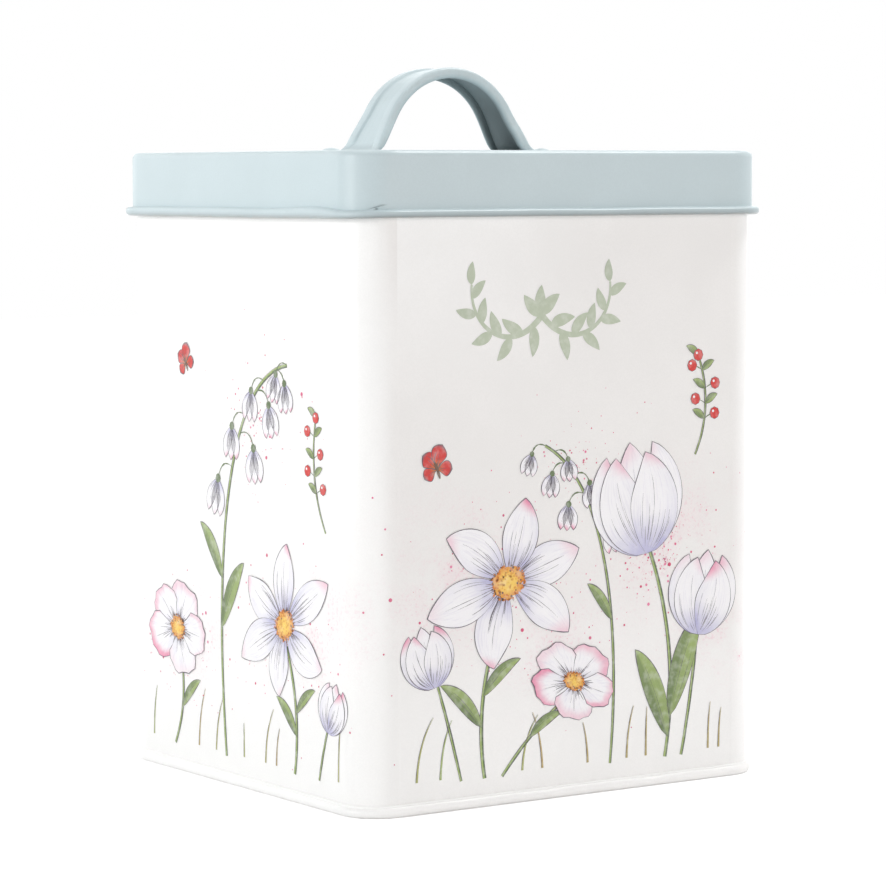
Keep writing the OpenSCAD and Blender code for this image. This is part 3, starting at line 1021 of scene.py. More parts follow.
def half_section(size, strap, depth):
    """Half of each cut. The upper side swells from the web to the flat top of the
    rim and goes over it and down, round the rolled edge and back to the middle.
    Where the edges fade out, they shrink to the sheet's round edge."""
    half, rimmed, depth = (column[:, None] for column in (strap.half, strap.rimmed, depth))
    sheet = size.strap_sheet

    def fade(full, gone):
        return gone + (full - gone) * rimmed

    rim = fade(size.rim_radius, sheet / 2)
    hem = fade(np.minimum(size.hem_radius, depth - size.rim_radius), sheet / 2)
    rise, fold = fade(size.rim_rise, 0), fade(size.rim_rise - depth, -sheet)
    rim_y, hem_y = half - np.minimum(rim, half), half - np.minimum(hem, half)
    flat_y = np.maximum(rim_y - fade(size.rim_width - size.rim_radius, 0), 0)
    swell = np.minimum(size.rim_swell, flat_y)
    over = np.linspace(math.pi / 2, 0, 12)
    rolled, flat = np.linspace(0, 1, 10), np.linspace(1, 0, 14)
    round_hem = -rolled * fade(math.pi, math.pi / 2)
    rising, fall = np.linspace(0, 1, 12), np.linspace(0, 1, 7)[1:-1]
    hem_end = hem_y + (half - hem_y) * np.cos(round_hem)
    inner = np.maximum(hem_end[:, -1:] - 0.05, 0)
    rows = (
        ((flat_y - swell) * np.linspace(0, 1, 14)[:-1], 0),
        (flat_y - swell * (1 - rising), rise * smooth(0, 1, rising)),
        (rim_y + (half - rim_y) * np.cos(over), rise - rim + rim * np.sin(over)),
        (half, rise - rim + fall * (fold + hem - rise + rim)),
        (hem_end, fold + hem + hem * np.sin(round_hem)),
        (inner * flat, -sheet),
    )
    parts = [np.stack(np.broadcast_arrays(y, z + 0 * half), axis=-1) for y, z in rows]
    upper = sum(part.shape[1] for part in parts[:4])
    under = np.concatenate([np.zeros(upper), smooth(0.15, 0.8, rolled), np.ones(len(flat))])
    return np.concatenate(parts, axis=1), under


class SEEDTIN_OT_fixings(bpy.types.Operator):
    """Gives the CAD rivets and washers their finishes"""

    bl_idname = "seed_tin.fixings"
    bl_label = "Rivets and washers"

    def execute(self, context):
        scene = context.scene
        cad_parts["rivets"].material_slots[0].material = lid_coat(scene)
        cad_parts["rivet_washers"].material_slots[0].material = plated(scene)
        return {"FINISHED"}


def plated(scene):
    """Zinc-plated steel: turned rings round each washer's axis and dull clouds."""
    finish = in_mm(scene.seed_tin_finish)
    material, tree, shader = new_material("Plated steel")
    cloud = tree.noise(tree.place(), 600.0, detail=3.0)
    dull = tree.mix(tree.step(0.35, 0.7, cloud), rgba(finish.steel), rgba(finish.steel, 0.8))
    shader.inputs["Metallic"].default_value = 1.0
    bump = tree.add("ShaderNodeBump", {"Distance": 0.00002, "Height": cloud})
    gloss = tree.step(0.2, 0.8, cloud, 0.25, 0.5)
    feed(tree, shader, Base_Color=dull, Roughness=gloss, Normal=bump.outputs[0])
    return material


# Index cards

class SEEDTIN_OT_cards(bpy.types.Operator):
    """Gives the index cards their board and prints a number on each tab"""

    bl_idname = "seed_tin.cards"
    bl_label = "Index cards"

    def execute(self, context):
        scene = context.scene
        for number in range(1, CARD_COUNT + 1):
            node = f"index_card_{number:02d}"
            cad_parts[node].material_slots[0].material = board(scene, number)
            tab_number(scene, number, node)
        return {"FINISHED"}


def tab_ink(scene, number):
    """The colour of a card's tab: four inks in turn."""
    inks = scene.seed_tin_inks
    return [inks.sage, inks.lilac, inks.pink, inks.yellow][(number - 1) % 4]


def board(scene, number):
    """Pressed board: short fibres, a soft tooth, ruled lines on the card and a
    tinted tab above it."""
    finish, card = in_mm(scene.seed_tin_finish), in_mm(scene.seed_tin_cards)
    tab_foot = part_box(f"index_card_{number:02d}")[1].z - card.tab_height * MM
    material, tree, shader = new_material(f"Index board {number:02d}")
    place = tree.place()
    stretched = tree.add("ShaderNodeMapping", {"Vector": place, "Scale": (1.0, 1.0, 0.25)}).outputs[0]
    fibres = tree.noise(stretched, 2600.0, detail=3.0)
    cloud = tree.noise(place, 90.0)
    height = tree.add("ShaderNodeSeparateXYZ", {0: place}).outputs["Z"]
    flecked = tree.mix(tree.step(0.62, 0.72, fibres), rgba(finish.board), rgba(finish.board, 0.72))
    clouded = tree.mix(tree.step(0.3, 0.7, cloud), flecked, rgba(finish.board, 0.95))
    ruled = tree.math("LESS_THAN", tree.math("MODULO", height, card.line_pitch * MM), card.line_width * MM)
    below = tree.math("LESS_THAN", height, tab_foot - card.bare_top * MM)
    ruled_share = tree.math("MULTIPLY", tree.math("MULTIPLY", ruled, below), 0.5)
    lined = tree.mix(ruled_share, clouded, rgba(scene.seed_tin_inks.sage))
    is_tab = tree.math("GREATER_THAN", height, tab_foot)
    tinted = tree.math("MULTIPLY", is_tab, tree.step(0.2, 0.5, fibres, 0.55, 0.8))
    bump = tree.add("ShaderNodeBump", {"Distance": 0.00004, "Height": fibres})
    feed(
        tree,
        shader,
        Base_Color=tree.mix(tinted, lined, rgba(tab_ink(scene, number))),
        Roughness=tree.step(0.3, 0.7, cloud, 0.72, 0.85),
        Normal=bump.outputs[0],
    )
    return material


def tab_number(scene, number, node):
    """A plain printed number on the front of a card's tab."""
    card = in_mm(scene.seed_tin_cards)
    lowest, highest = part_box(node)
    name = f"tab_number_{number:02d}"
    text = bpy.data.curves.new(name, "FONT")
    text.body = str(number)
    text.size = card.number_size * MM
    text.align_x = "CENTER"
    text.align_y = "CENTER"
    drawn = bpy.data.objects.new(name + "_text", text)
    scene.collection.objects.link(drawn)
    bpy.context.view_layer.update()
    mesh = bpy.data.meshes.new_from_object(drawn.evaluated_get(bpy.context.evaluated_depsgraph_get()))
    bpy.data.objects.remove(drawn)
    points = np.zeros(len(mesh.vertices) * 3)
    mesh.vertices.foreach_get("co", points)
    points = points.reshape(-1, 3)[:, [0, 2, 1]]
    points += [tab_middle(card, number) * MM, lowest.y, highest.z]
    points[:, 1:] -= [card.number_lift * MM, card.tab_height / 2 * MM]
    mesh.vertices.foreach_set("co", points.ravel())
    mesh.materials.clear()
    mesh.materials.append(reuse("Number ink", lambda: number_ink(scene)))
    mesh.name = name
    mesh.update()
    new_piece(mesh, f"card_{number:02d}")


def tab_middle(card, number):
    """Middle of a card's tab, which steps to the right over its places."""
    first = card.tab_inset + card.tab_width / 2
    pitch = (card.card_width - 2 * first) / (TAB_PLACES - 1)
    return first + (number - 1) % TAB_PLACES * pitch - card.card_width / 2


def number_ink(scene):
    """Printing ink with a little of the board's tooth showing through."""
    inks = scene.seed_tin_inks
    material, tree, shader = new_material("Number ink")
    tooth = tree.noise(tree.place(), 3000.0, detail=2.0)
    worn = tree.mix(tree.step(0.45, 0.75, tooth), rgba(inks.line), rgba(inks.line, 1.8))
    feed(tree, shader, Base_Color=worn, Roughness=tree.step(0.3, 0.7, tooth, 0.5, 0.7))
    return material


# Print

def wash_at(tin, along, up):
    """How strongly the pink wash shows at a place on the wall: a sum of soft
    round clouds where the print is fullest."""
    total = 0.0
    for face, x, z, radius, strength in WASHES:
        apart = (face_distance(tin, along, face) - x) / radius
        above = (up - z) / (0.8 * radius)
        total = total + strength * np.exp(-(apart**2) - above**2)
    return np.clip(total, 0, 1)


# The face of each cloud, its place across and up the face, radius and strength
WASHES = (
    (0, -40, 66, 22, 0.9),
    (0, -6, 44, 18, 0.6),
    (0, 38, 72, 22, 0.8),
    (0, 52, 40, 14, 0.8),
    (3, 36, 50, 22, 0.9),
    (3, -32, 44, 20, 0.8),
    (3, 14, 112, 18, 0.6),
    (1, -10, 66, 26, 0.8),
    (1, 34, 80, 16, 0.5),
    (2, 4, 66, 26, 0.8),
    (2, -34, 44, 18, 0.7),
    (2, 38, 40, 16, 0.7),
)


def bezier(*pulls, count=24):
    """Points of a curve from the first place to the last, pulled towards those
    between them (Bernstein polynomials)."""
    share = np.linspace(0, 1, count)[:, None]
    degree = len(pulls) - 1
    return sum(
        math.comb(degree, index) * share**index * (1 - share) ** (degree - index) * np.array(pull, float)
        for index, pull in enumerate(pulls)
    )


def ahead(path):
    """Unit vectors along a flat path."""
    run = np.gradient(path, axis=0)
    return run / np.maximum(np.linalg.norm(run, axis=1, keepdims=True), 1e-9)


def sideways(path):
    """Unit vectors to the left along a flat path."""
    run = ahead(path)
    return np.stack([-run[:, 1], run[:, 0]], axis=-1)


def leaf_grid(spine, width, blunt, columns):
    """Points of a petal or leaf along a spine, and how far along and across each
    is. Half its width at share t of the spine is width · sin(pi · t^blunt)^0.8 / 2."""
    share = np.linspace(0, 1, len(spine))[:, None]
    half = width / 2 * np.clip(np.sin(np.pi * share**blunt), 0, 1) ** 0.8
    across = np.linspace(-1, 1, columns)[None]
    points = spine[:, None] + sideways(spine)[:, None] * (half * across)[..., None]
    return points, share, across


def blend(first, second, share):
    """Colours between two, by a grid of shares."""
    share = np.clip(share, 0, 1)[..., None]
    return np.array(first) * (1 - share) + np.array(second) * share


def turned(points, angle, squash=1.0, tilt=0.0):
    """Flat points turned by an angle, then squashed across a tilted direction."""
    x, z = points[..., 0], points[..., 1]
    x, z = x * math.cos(angle) - z * math.sin(angle), x * math.sin(angle) + z * math.cos(angle)
    along = x * math.cos(tilt) + z * math.sin(tilt)
    across = (z * math.cos(tilt) - x * math.sin(tilt)) * squash
    return np.stack([
        along * math.cos(tilt) - across * math.sin(tilt),
        along * math.sin(tilt) + across * math.cos(tilt),
    ], axis=-1)


class Print:
    """The flat shapes of one printed motif. Places are millimetres across and up
    a face, and a shape's level says which shapes it covers."""

    def __init__(self, inks, seed):
        self.inks = inks
        self.random = np.random.default_rng(seed)
        self.points, self.faces, self.ink, self.stroke, self.level = [], [], [], [], []
        self.count = 0

    def add(self, points, faces, ink, level, stroke):
        """Adds points (n, 2) with their faces, inks, level and stroke places."""
        total = len(points)
        self.points.append(points)
        self.faces.append(faces + self.count)
        self.ink.append(np.broadcast_to(ink, (total, 3)))
        self.stroke.append(np.broadcast_to(stroke, (total, 3)))
        self.level.append(np.full(total, float(level)))
        self.count += total

    def sheet(self, points, ink, level, grown=0.0, spread=0.0):
        """Adds a grid of points, with how far along and across its stroke each is."""
        shape = points.shape[:2]
        seed = self.random.uniform(0, 100)
        grid = np.zeros(shape)
        stroke = np.stack([grown + grid, spread + grid, seed + grid], axis=-1)
        ink = np.broadcast_to(ink, (*shape, 3))
        self.add(points.reshape(-1, 2), grid_faces(*shape), ink.reshape(-1, 3), level, stroke.reshape(-1, 3))

    def ribbon(self, path, width, ink, level):
        """A band along a path, as wide as the width at each of its points."""
        half = np.broadcast_to(np.asarray(width) / 2, len(path))[:, None, None]
        points = path[:, None] + sideways(path)[:, None] * half * np.array([[[-1.0], [1.0]]])
        self.sheet(points, ink, level)

    def pen(self, path, width, level, ink=None):
        """A drawn line: thin at its ends and uneven by a sum of sine waves."""
        share = np.linspace(0, 1, len(path))
        first, second = self.random.uniform(0, 6, 2)
        uneven = 0.78 + 0.22 * np.sin(9 * share + first) + 0.2 * np.sin(23 * share + second)
        ends = 0.35 + 0.65 * np.clip(np.sin(np.pi * share), 0, 1) ** 0.5
        self.ribbon(path, width * ends * uneven, self.inks.line if ink is None else ink, level)

    def dots(self, places, radii, ink, level):
        """Small eight-sided dots, each made of three four-sided faces."""
        places = np.asarray(places, float).reshape(-1, 2)
        radii = np.broadcast_to(radii, len(places))
        turn = np.linspace(0, 2 * np.pi, 8, endpoint=False)
        ring = np.stack([np.cos(turn), np.sin(turn)], axis=-1)
        points = places[:, None] + radii[:, None, None] * ring
        faces = np.array([[0, 1, 2, 3], [0, 3, 4, 7], [4, 5, 6, 7]])
        faces = (faces + 8 * np.arange(len(places))[:, None, None]).reshape(-1, 4)
        ink = np.repeat(np.broadcast_to(ink, (len(places), 3)), 8, axis=0)
        self.add(points.reshape(-1, 2), faces, ink, level, (0.0, 0.0, self.random.uniform(0, 100)))

    def petal_tint(self):
        """Inks of a petal: lilac near its root and along one side, a pink tip."""
        side = self.random.choice([-1.0, 1.0])
        strength = self.random.uniform(0.15, 0.95)
        start = self.random.uniform(0.68, 0.84)

        def tint(grown, spread):
            side_shade = 0.35 * smooth(0.2, 1.0, spread * side) * (1 - grown)
            ink = blend(self.inks.petal, self.inks.lilac, 0.8 * (1 - smooth(0.0, 0.45, grown)) + side_shade)
            pink = strength * smooth(start, 1.0, grown + 0.08 * spread * side)
            return blend(ink, self.inks.pink, pink)

        return tint

    def leaf_tint(self, grown, spread):
        """Inks of a leaf: dark at its root and on one side of its vein."""
        shade = 0.4 * (1 - grown) + 0.5 * smooth(-0.1, 0.3, spread)
        return blend(self.inks.leaf, self.inks.moss, shade)

    def hatch(self, points, count, width, level):
        """Thin pen strokes that start near the root of a grid of points. The
        first is long and runs up its middle."""
        rows, columns = points.shape[:2]
        for index in range(count):
            place = (columns - 1) * (0.5 if index == 0 else self.random.uniform(0.1, 0.85))
            column = int(place)
            stroke = points[:, column] + (place - column) * (points[:, column + 1] - points[:, column])
            first = self.random.uniform(0.03, 0.16)
            last = 0.75 if index == 0 else first + self.random.uniform(0.18, 0.5)
            stroke = stroke[round(first * rows) : max(round(last * rows), round(first * rows) + 3)]
            self.pen(stroke, width * self.random.uniform(0.6, 1.0), level)

    def blade(self, spine, width, level, tint, blunt=1.0, line=0.27, veins=2):
        """A petal or leaf along a spine, with an inked edge and thin veins."""
        points, share, across = leaf_grid(spine, width, blunt, 7)
        self.sheet(points, tint(share, across), level, share, across)
        self.pen(np.concatenate([points[:, 0], points[-2::-1, -1]]), line, level + 1)
        self.hatch(points, veins, 0.7 * line, level + 1)

    def wedge(self, centre, reach, angle, spread, level, tint, place, line=0.27):
        """A broad petal of an open flower. Its edge at angle a from its middle is
        reach · cos(a · pi / 2.5 / spread)^0.4 · (1 - notch · exp(-(a / 0.13)^2))
        from the flower's centre. The place function carries it to the face."""
        notch = self.random.uniform(0.03, 0.13)
        off = np.linspace(-spread, spread, 13)
        edge = reach * np.cos(off * np.pi / 2.5 / spread) ** 0.4
        edge = edge * (1 - notch * np.exp(-((off / 0.13) ** 2))) * (1 + 0.03 * np.sin(17 * off + 9 * notch))
        grown = np.linspace(0.1, 1, 10)
        turn = angle + off * (1 - 0.25 * (1 - grown[:, None]))
        far = grown[:, None] * edge
        points = place(np.stack([far * np.cos(turn), far * np.sin(turn)], axis=-1)) + centre
        across = (off / spread)[None]
        self.sheet(points, tint(grown[:, None], across), level, grown[:, None], across)
        self.pen(np.concatenate([points[2:, 0], points[-1, 1:-1], points[:1:-1, -1]]), line, level + 1)
        self.hatch(points, 14, 0.7 * line, level + 1)

    def stem(self, *pulls, width=1.1, level=0, leaves=()):
        """A stem with a dark side and an inked edge. Each leaf has its share of
        the way up, its side, its length and how it leans."""
        path = bezier(*pulls, count=34)
        self.ribbon(path, np.linspace(1.15, 0.8, len(path)) * width, self.inks.leaf, level)
        side = sideways(path)
        self.ribbon(path - side * width * 0.28, 0.4 * width, self.inks.moss, level + 1)
        self.pen(path + side * width * 0.52, 0.26, level + 1)
        self.pen(path - side * width * 0.52, 0.26, level + 1)
        for share, which, reach, rise in leaves:
            root = path[round(share * (len(path) - 1))]
            tip = root + np.array([which * reach * math.cos(rise), reach * math.sin(rise)])
            middle = (root + tip) / 2 + np.array([0, 0.22 * reach])
            self.blade(bezier(root, middle, tip, count=16), 0.24 * reach, level + 2, self.leaf_tint, 0.8)
        return path

    def rose(self, x, z, reach, squash, tilt, turn, level):
        """An open wild rose: broad overlapping petals round a heart of stamens."""
        centre, petals = np.array([x, z]), 5
        spread = 1.22 * math.pi / petals

        def place(points):
            return turned(points, 0.0, squash, tilt)

        for index in range(petals):
            angle = turn + 2 * math.pi * index / petals + self.random.uniform(-0.07, 0.07)
            length = reach * self.random.uniform(0.9, 1.06)
            self.wedge(centre, length, angle, spread, level + 2 * index, self.petal_tint(), place)
        self.heart(centre, 0.22 * reach, place, level + 2 * petals)

    def star(self, x, z, reach, squash, tilt, turn, level):
        """An open clematis: long pointed petals, every other one on top, round a
        heart of stamens."""
        centre, petals = np.array([x, z]), 6

        def place(points):
            return turned(points, 0.0, squash, tilt)

        for index in [*range(0, petals, 2), *range(1, petals, 2)]:
            angle = turn + 2 * math.pi * index / petals + self.random.uniform(-0.08, 0.08)
            length = reach * self.random.uniform(0.88, 1.08)
            bend = self.random.uniform(-0.16, 0.16)
            spine = bezier((0.08 * reach, 0), (0.6 * length, bend * length), (length, 0), count=20)
            spine = place(turned(spine, angle)) + centre
            layer = level if index % 2 == 0 else level + 2
            width = 2.5 * reach / petals * self.random.uniform(0.95, 1.15)
            self.blade(spine, width, layer + 0.2 * index, self.petal_tint(), 0.95, veins=13)
        self.heart(centre, 0.19 * reach, place, level + 6)

    def heart(self, centre, radius, place, level):
        """A golden heart, darker towards its rim, with stippled orange and brown
        dots and short stamens round it."""

        def at(far, turn):
            return place(np.stack([far * np.cos(turn), far * np.sin(turn)], axis=-1)) + centre

        grown, around = np.linspace(0.02, 1, 6)[:, None], np.linspace(0, 2 * math.pi, 33)
        edge = radius * (1 + 0.05 * np.sin(7 * around) + 0.04 * np.sin(12 * around + 1))
        ink = blend(self.inks.yellow, self.inks.orange, 0.75 * smooth(0.4, 1.0, grown + 0 * around))
        self.sheet(at(grown * edge, around), ink, level + 1)
        count = 170
        turn = self.random.uniform(0, 2 * math.pi, count)
        far = np.sqrt(self.random.uniform(0.05, 1.3, count))
        shade = smooth(0.35, 1.1, far)
        dark = self.random.uniform(0, 1, count) < 0.4 * shade
        ink = np.where(dark[:, None], self.inks.brown, blend(self.inks.yellow, self.inks.orange, 0.4 + shade))
        self.dots(at(far * radius, turn), self.random.uniform(0.035, 0.08, count) * radius, ink, level + 2)
        for angle in np.linspace(0, 2 * math.pi, 30, endpoint=False) + self.random.uniform(-0.1, 0.1, 30):
            reach = np.array([0.9, 1.15, self.random.uniform(1.25, 1.55)]) * radius
            self.pen(at(reach, np.full(3, angle)), 0.2, level, self.inks.brown)

    def cup(self, x, z, height, lean, level):
        """A tulip seen from the side: three petals behind and two before, each
        given by its side, how tall and how wide it is."""
        root = np.array([x, z])
        behind = ((-0.26, 0.93, 0.42), (0.26, 0.95, 0.42), (0.0, 1.0, 0.5))
        before = ((-0.15, 0.9, 0.5), (0.16, 0.88, 0.52))
        for index, (side, tall, wide) in enumerate(behind + before):
            middle = np.array([1.75 * side, 0.5 * tall]) * height
            end = np.array([0.95 * side + self.random.uniform(-0.02, 0.02), tall]) * height
            spine = turned(bezier((0, 0), middle, end, count=18), lean) + root
            self.blade(spine, wide * height, level + 2 * index, self.petal_tint(), 0.86, veins=12)

    def bells(self, path, shares, size, side, level=3):
        """Bell flowers that hang on short stalks from an arching stem."""
        for index, share in enumerate(shares):
            root = path[round(share * (len(path) - 1))]
            scale = size * (1.15 - 0.5 * share)
            which = side if index % 2 == 0 else -side
            hang = root + np.array([which * 0.75, -0.35]) * scale
            stalk = bezier(root, root + np.array([which * 0.55, 0.25]) * scale, hang, count=9)
            self.pen(stalk, 0.5, level, self.inks.moss)
            down = np.array([which * self.random.uniform(0.05, 0.3), -1.0]) * scale
            tint = self.petal_tint()
            for lean in (-0.3, 0.3, 0.0):
                end = turned(down, lean)
                middle = turned(down * 0.6, 1.9 * lean)
                spine = bezier(hang, hang + middle, hang + end, count=11)
                self.blade(spine, 0.42 * scale, level + 2, tint, 1.05, 0.24, 4)
            self.dots(hang, 0.13 * scale, self.inks.moss, level + 4)

    def berries(self, *pulls, count=5, size=1.9, level=2):
        """A sprig of red berries with small leaves."""
        path = self.stem(*pulls, width=0.6, level=level)
        for index, share in enumerate(np.linspace(0.35, 1.0, count)):
            root = path[round(share * (len(path) - 1))]
            which = 1 if index % 2 == 0 else -1
            spot = root + np.array([which * 2.2, 0.9]) * size * (0.0 if share == 1 else 1.0)
            stalk = bezier(root, (root + spot) / 2 + [0, 0.6], spot, count=7)
            self.pen(stalk, 0.35, level + 1, self.inks.moss)
            self.dots(spot, size * 1.08, self.inks.line, level + 3)
            self.dots(spot, size, self.inks.red, level + 4)
            self.dots(spot + [-0.32 * size, 0.34 * size], 0.24 * size, self.inks.petal, level + 5)
            tip = root + np.array([-which * 2.6, 1.6]) * size
            leaf = bezier(root, (root + tip) / 2 + [0, 1.0], tip, count=12)
            self.blade(leaf, 1.3 * size, level + 2, self.leaf_tint, 0.8, 0.2)

    def butterfly(self, x, z, size, lean=0.0, level=3):
        """A small red butterfly with its wings half open."""
        root = np.array([x, z])

        def tint(grown, spread):
            ink = blend(self.inks.orange, self.inks.red, smooth(0.0, 0.5, grown))
            return blend(ink, self.inks.line, 0.9 * smooth(0.8, 1.0, grown + 0.08 * spread**2))

        wings = ((0.95, 1.0, 0.72), (2.1, 0.86, 0.66), (-0.35, 0.72, 0.6), (3.35, 0.66, 0.56))
        for index, (angle, length, width) in enumerate(wings):
            tip = np.array([math.cos(angle), math.sin(angle)]) * length * size
            bent = turned(tip * 0.55, 0.22 * (1 if index % 2 == 0 else -1))
            spine = turned(bezier((0, 0), bent, tip, count=14), lean) + root
            self.blade(spine, width * size, level + 2 * (3 - index), tint, 1.5, 0.26, 5)
        plump = np.array([0.3, 0.7, 1, 0.8, 0.9, 1.2, 1, 1, 0.6])
        body = bezier((0.02, -0.38), (0.05, 0), (0, 0.3), count=len(plump)) * size
        self.ribbon(turned(body, lean) + root, plump * 0.13 * size, self.inks.brown, level + 9)
        for side in (-1, 1):
            feeler = bezier((0, 0.28), (side * 0.05, 0.5), (side * 0.22, 0.66), count=8) * size
            self.pen(turned(feeler, lean) + root, 0.24, level + 9)

    def garland(self, x, z, half, rise, leaves=9, level=1):
        """A flat grey-green ornament: two leafy arms that meet under a bud."""
        ink = np.array(self.inks.sage)

        def leaf(root, heading, reach, width):
            tip, pull = root + heading * reach, turned(heading, 0.25) * 0.5 * reach
            points, _, _ = leaf_grid(bezier(root, root + pull, tip, count=12), width, 0.8, 3)
            self.sheet(points, ink, level + 0.1 * len(self.points))

        for side in (-1, 1):
            arm = bezier((0, 0), (0.4, -1.3), (1.05, -0.5), (1, 1), count=40)
            arm = arm * [side * half, rise] + [x, z]
            self.ribbon(arm, np.linspace(1.9, 0.7, len(arm)), ink, level)
            heading = ahead(arm)
            for index, share in enumerate(np.linspace(0.1, 1.0, leaves)):
                at = round(share * (len(arm) - 1))
                out = 0.0 if share == 1 else 0.9 * (1 if index % 2 == 0 else -1)
                leaf(arm[at], turned(heading[at], out), 9.0 - 2.5 * share, 3.6 - 0.8 * share)
        for angle in (0.75, math.pi / 2, math.pi - 0.75):
            leaf(np.array([x, z]), np.array([math.cos(angle), math.sin(angle)]), 8.5, 3.8)

    def grass(self, places, height, level=0):
        """Thin blades of grass that start at the places and bend over."""
        for x in places:
            bend = self.random.uniform(-0.35, 0.35) * height
            top = height * self.random.uniform(0.6, 1.1)
            path = bezier((x, 9), (x + 0.1 * bend, 9 + 0.6 * top), (x + bend, 9 + top), count=18)
            ink = blend(self.inks.leaf, self.inks.tan, np.array(self.random.uniform(0, 0.8)))
            self.ribbon(path, 0.8 * np.linspace(1, 0.15, 18), ink, level)
            self.pen(path + sideways(path) * 0.3, 0.2, level + 1)

    def specks(self, x, z, reach, count, level=0):
        """Fine splashes of pink and red round a place, thinner further out."""
        turn = self.random.uniform(0, 2 * math.pi, count)
        far = reach * np.abs(self.random.normal(0.0, 0.62, count))
        places = np.stack([x + far * np.cos(turn), z + 0.85 * far * np.sin(turn)], axis=-1)
        radii = 0.09 + 0.1 * self.random.exponential(1.0, count)
        share = self.random.uniform(0, 1, count)
        ink = blend(self.inks.pink, self.inks.rose, share)
        held = (places[:, 1] > 6) & (places[:, 1] < 150)
        self.dots(places[held], np.minimum(radii, 0.62)[held], ink[held], level)

    def piece(self, scene, name, face):
        """Wraps the shapes onto a face of the wall, each a little above it by its
        level, and makes the piece."""
        tin = in_mm(scene.seed_tin_body)
        points, faces = np.concatenate(self.points), np.concatenate(self.faces)
        first, second, third, last = (points[faces[:, corner]] for corner in range(4))
        cross = np.cross(second - first, third - second) + np.cross(third - second, last - third)
        faces = np.where((cross < 0)[:, None], faces[:, ::-1], faces)
        along, up = face_middle(tin, face) + points[:, 0], points[:, 1]
        lift = PRINT_LIFT + PRINT_STEP * np.concatenate(self.level)
        places = wrap(tin, along, wall_offset(tin, along, up) + lift, up)
        values = {"Ink": with_alpha(np.concatenate(self.ink)), "Stroke": np.concatenate(self.stroke)}
        material = reuse("Printed ink", lambda: printed_ink(scene))
        mesh = make_mesh(name, places, faces, material, values, closed=False)
        new_piece(mesh, "tin")


def leaf_pair(first, second, reach):
    """Leaves of a stem: one to each side at their shares of the way up."""
    return ((first, -1, reach, 0.75), (second, 1, 0.85 * reach, 0.65))


def front_flowers(art):
    art.specks(-22, 60, 36, 260)
    art.stem((-30, 8), (-34, 32), (-23, 56), leaves=leaf_pair(0.3, 0.5, 19))
    art.stem((-24, 8), (-14, 20), (-1, 29), width=0.9, leaves=((0.45, 1, 13, 0.5),))
    art.stem((-38, 8), (-42, 24), (-46, 36), width=0.8)
    art.cup(-47, 35, 18, 0.25, level=4)
    art.star(-22, 63, 28, 0.84, 0.3, 0.35, level=8)
    art.rose(1, 33, 16, 0.72, -0.35, 0.9, level=18)


def front_tulips(art):
    art.specks(34, 66, 30, 220)
    art.stem((34, 8), (40, 40), (28, 70), leaves=((0.1, -1, 29, 1.15), (0.18, 1, 32, 1.2)))
    art.stem((40, 8), (44, 26), (46, 46), width=0.95)
    art.cup(27, 68, 33, 0.2, level=8)
    art.cup(46, 43, 25, -0.14, level=8)


def front_sprigs(art):
    art.specks(4, 96, 24, 90)
    path = art.stem((14, 8), (19, 60), (9, 92), (-9, 101), width=0.8, leaves=((0.3, -1, 14, 0.9),))
    art.bells(path, (0.62, 0.7, 0.78, 0.86, 0.93, 1.0), 9.5, 1)
    art.grass((-53, -45, -17, -10, 6, 20, 27, 50, 54), 17)
    art.butterfly(-46, 96, 7.2, 0.35)
    art.berries((45, 96), (52, 110), (46, 125), count=5, size=1.7)


def front_ornament(art):
    art.garland(-10, 138, 24, 9)


def left_flowers(art):
    art.specks(24, 46, 30, 180)
    art.specks(-34, 42, 26, 120)
    art.stem((30, 8), (34, 26), (26, 44), leaves=leaf_pair(0.3, 0.5, 15))
    art.stem((-38, 8), (-30, 22), (-35, 38), width=0.95, leaves=((0.4, 1, 14, 0.7),))
    art.stem((43, 8), (45, 16), (48, 24), width=0.8)
    art.star(25, 50, 25, 0.86, 0.5, 0.5, level=8)
    art.rose(-36, 43, 18, 0.82, -0.3, 1.1, level=8)
    art.cup(48, 22, 15, -0.3, level=4)


def left_spray(art):
    art.specks(12, 108, 28, 130)
    path = art.stem(
        (-8, 8), (-16, 70), (-4, 120), (27, 124), width=1.1, leaves=((0.2, 1, 24, 1.0), (0.3, -1, 20, 0.9))
    )
    art.bells(path, (0.56, 0.64, 0.71, 0.78, 0.85, 0.92, 1.0), 12.5, -1)
    art.grass((-51, -24, -14, 2, 14, 20, 53), 16)
    art.butterfly(-30, 122, 6.4, 0.5)
    art.berries((47, 78), (38, 92), (42, 110), count=5, size=1.6)


def right_tulips(art):
    art.specks(-8, 62, 36, 240)
    art.stem((-6, 8), (-12, 36), (-10, 60), leaves=((0.1, -1, 31, 1.2), (0.16, 1, 29, 1.1)))
    art.stem((6, 8), (14, 28), (16, 46), width=1.0)
    art.stem((-16, 8), (-30, 26), (-35, 44), width=1.0)
    art.cup(17, 44, 27, -0.28, level=4)
    art.cup(-35, 42, 26, 0.3, level=4)
    art.cup(-10, 60, 35, 0.04, level=14)


def right_sprigs(art):
    path = art.stem((36, 8), (47, 50), (43, 86), (27, 96), width=0.85, leaves=((0.3, -1, 15, 0.9),))
    art.bells(path, (0.6, 0.7, 0.8, 0.9, 1.0), 10, 1)
    art.berries((-44, 8), (-51, 24), (-47, 42), count=5, size=1.7)
    art.butterfly(-30, 110, 7.4, -0.3)
    art.butterfly(20, 122, 6.0, 0.4)
    art.grass((-54, -36, -24, 0, 24, 30, 53), 17)


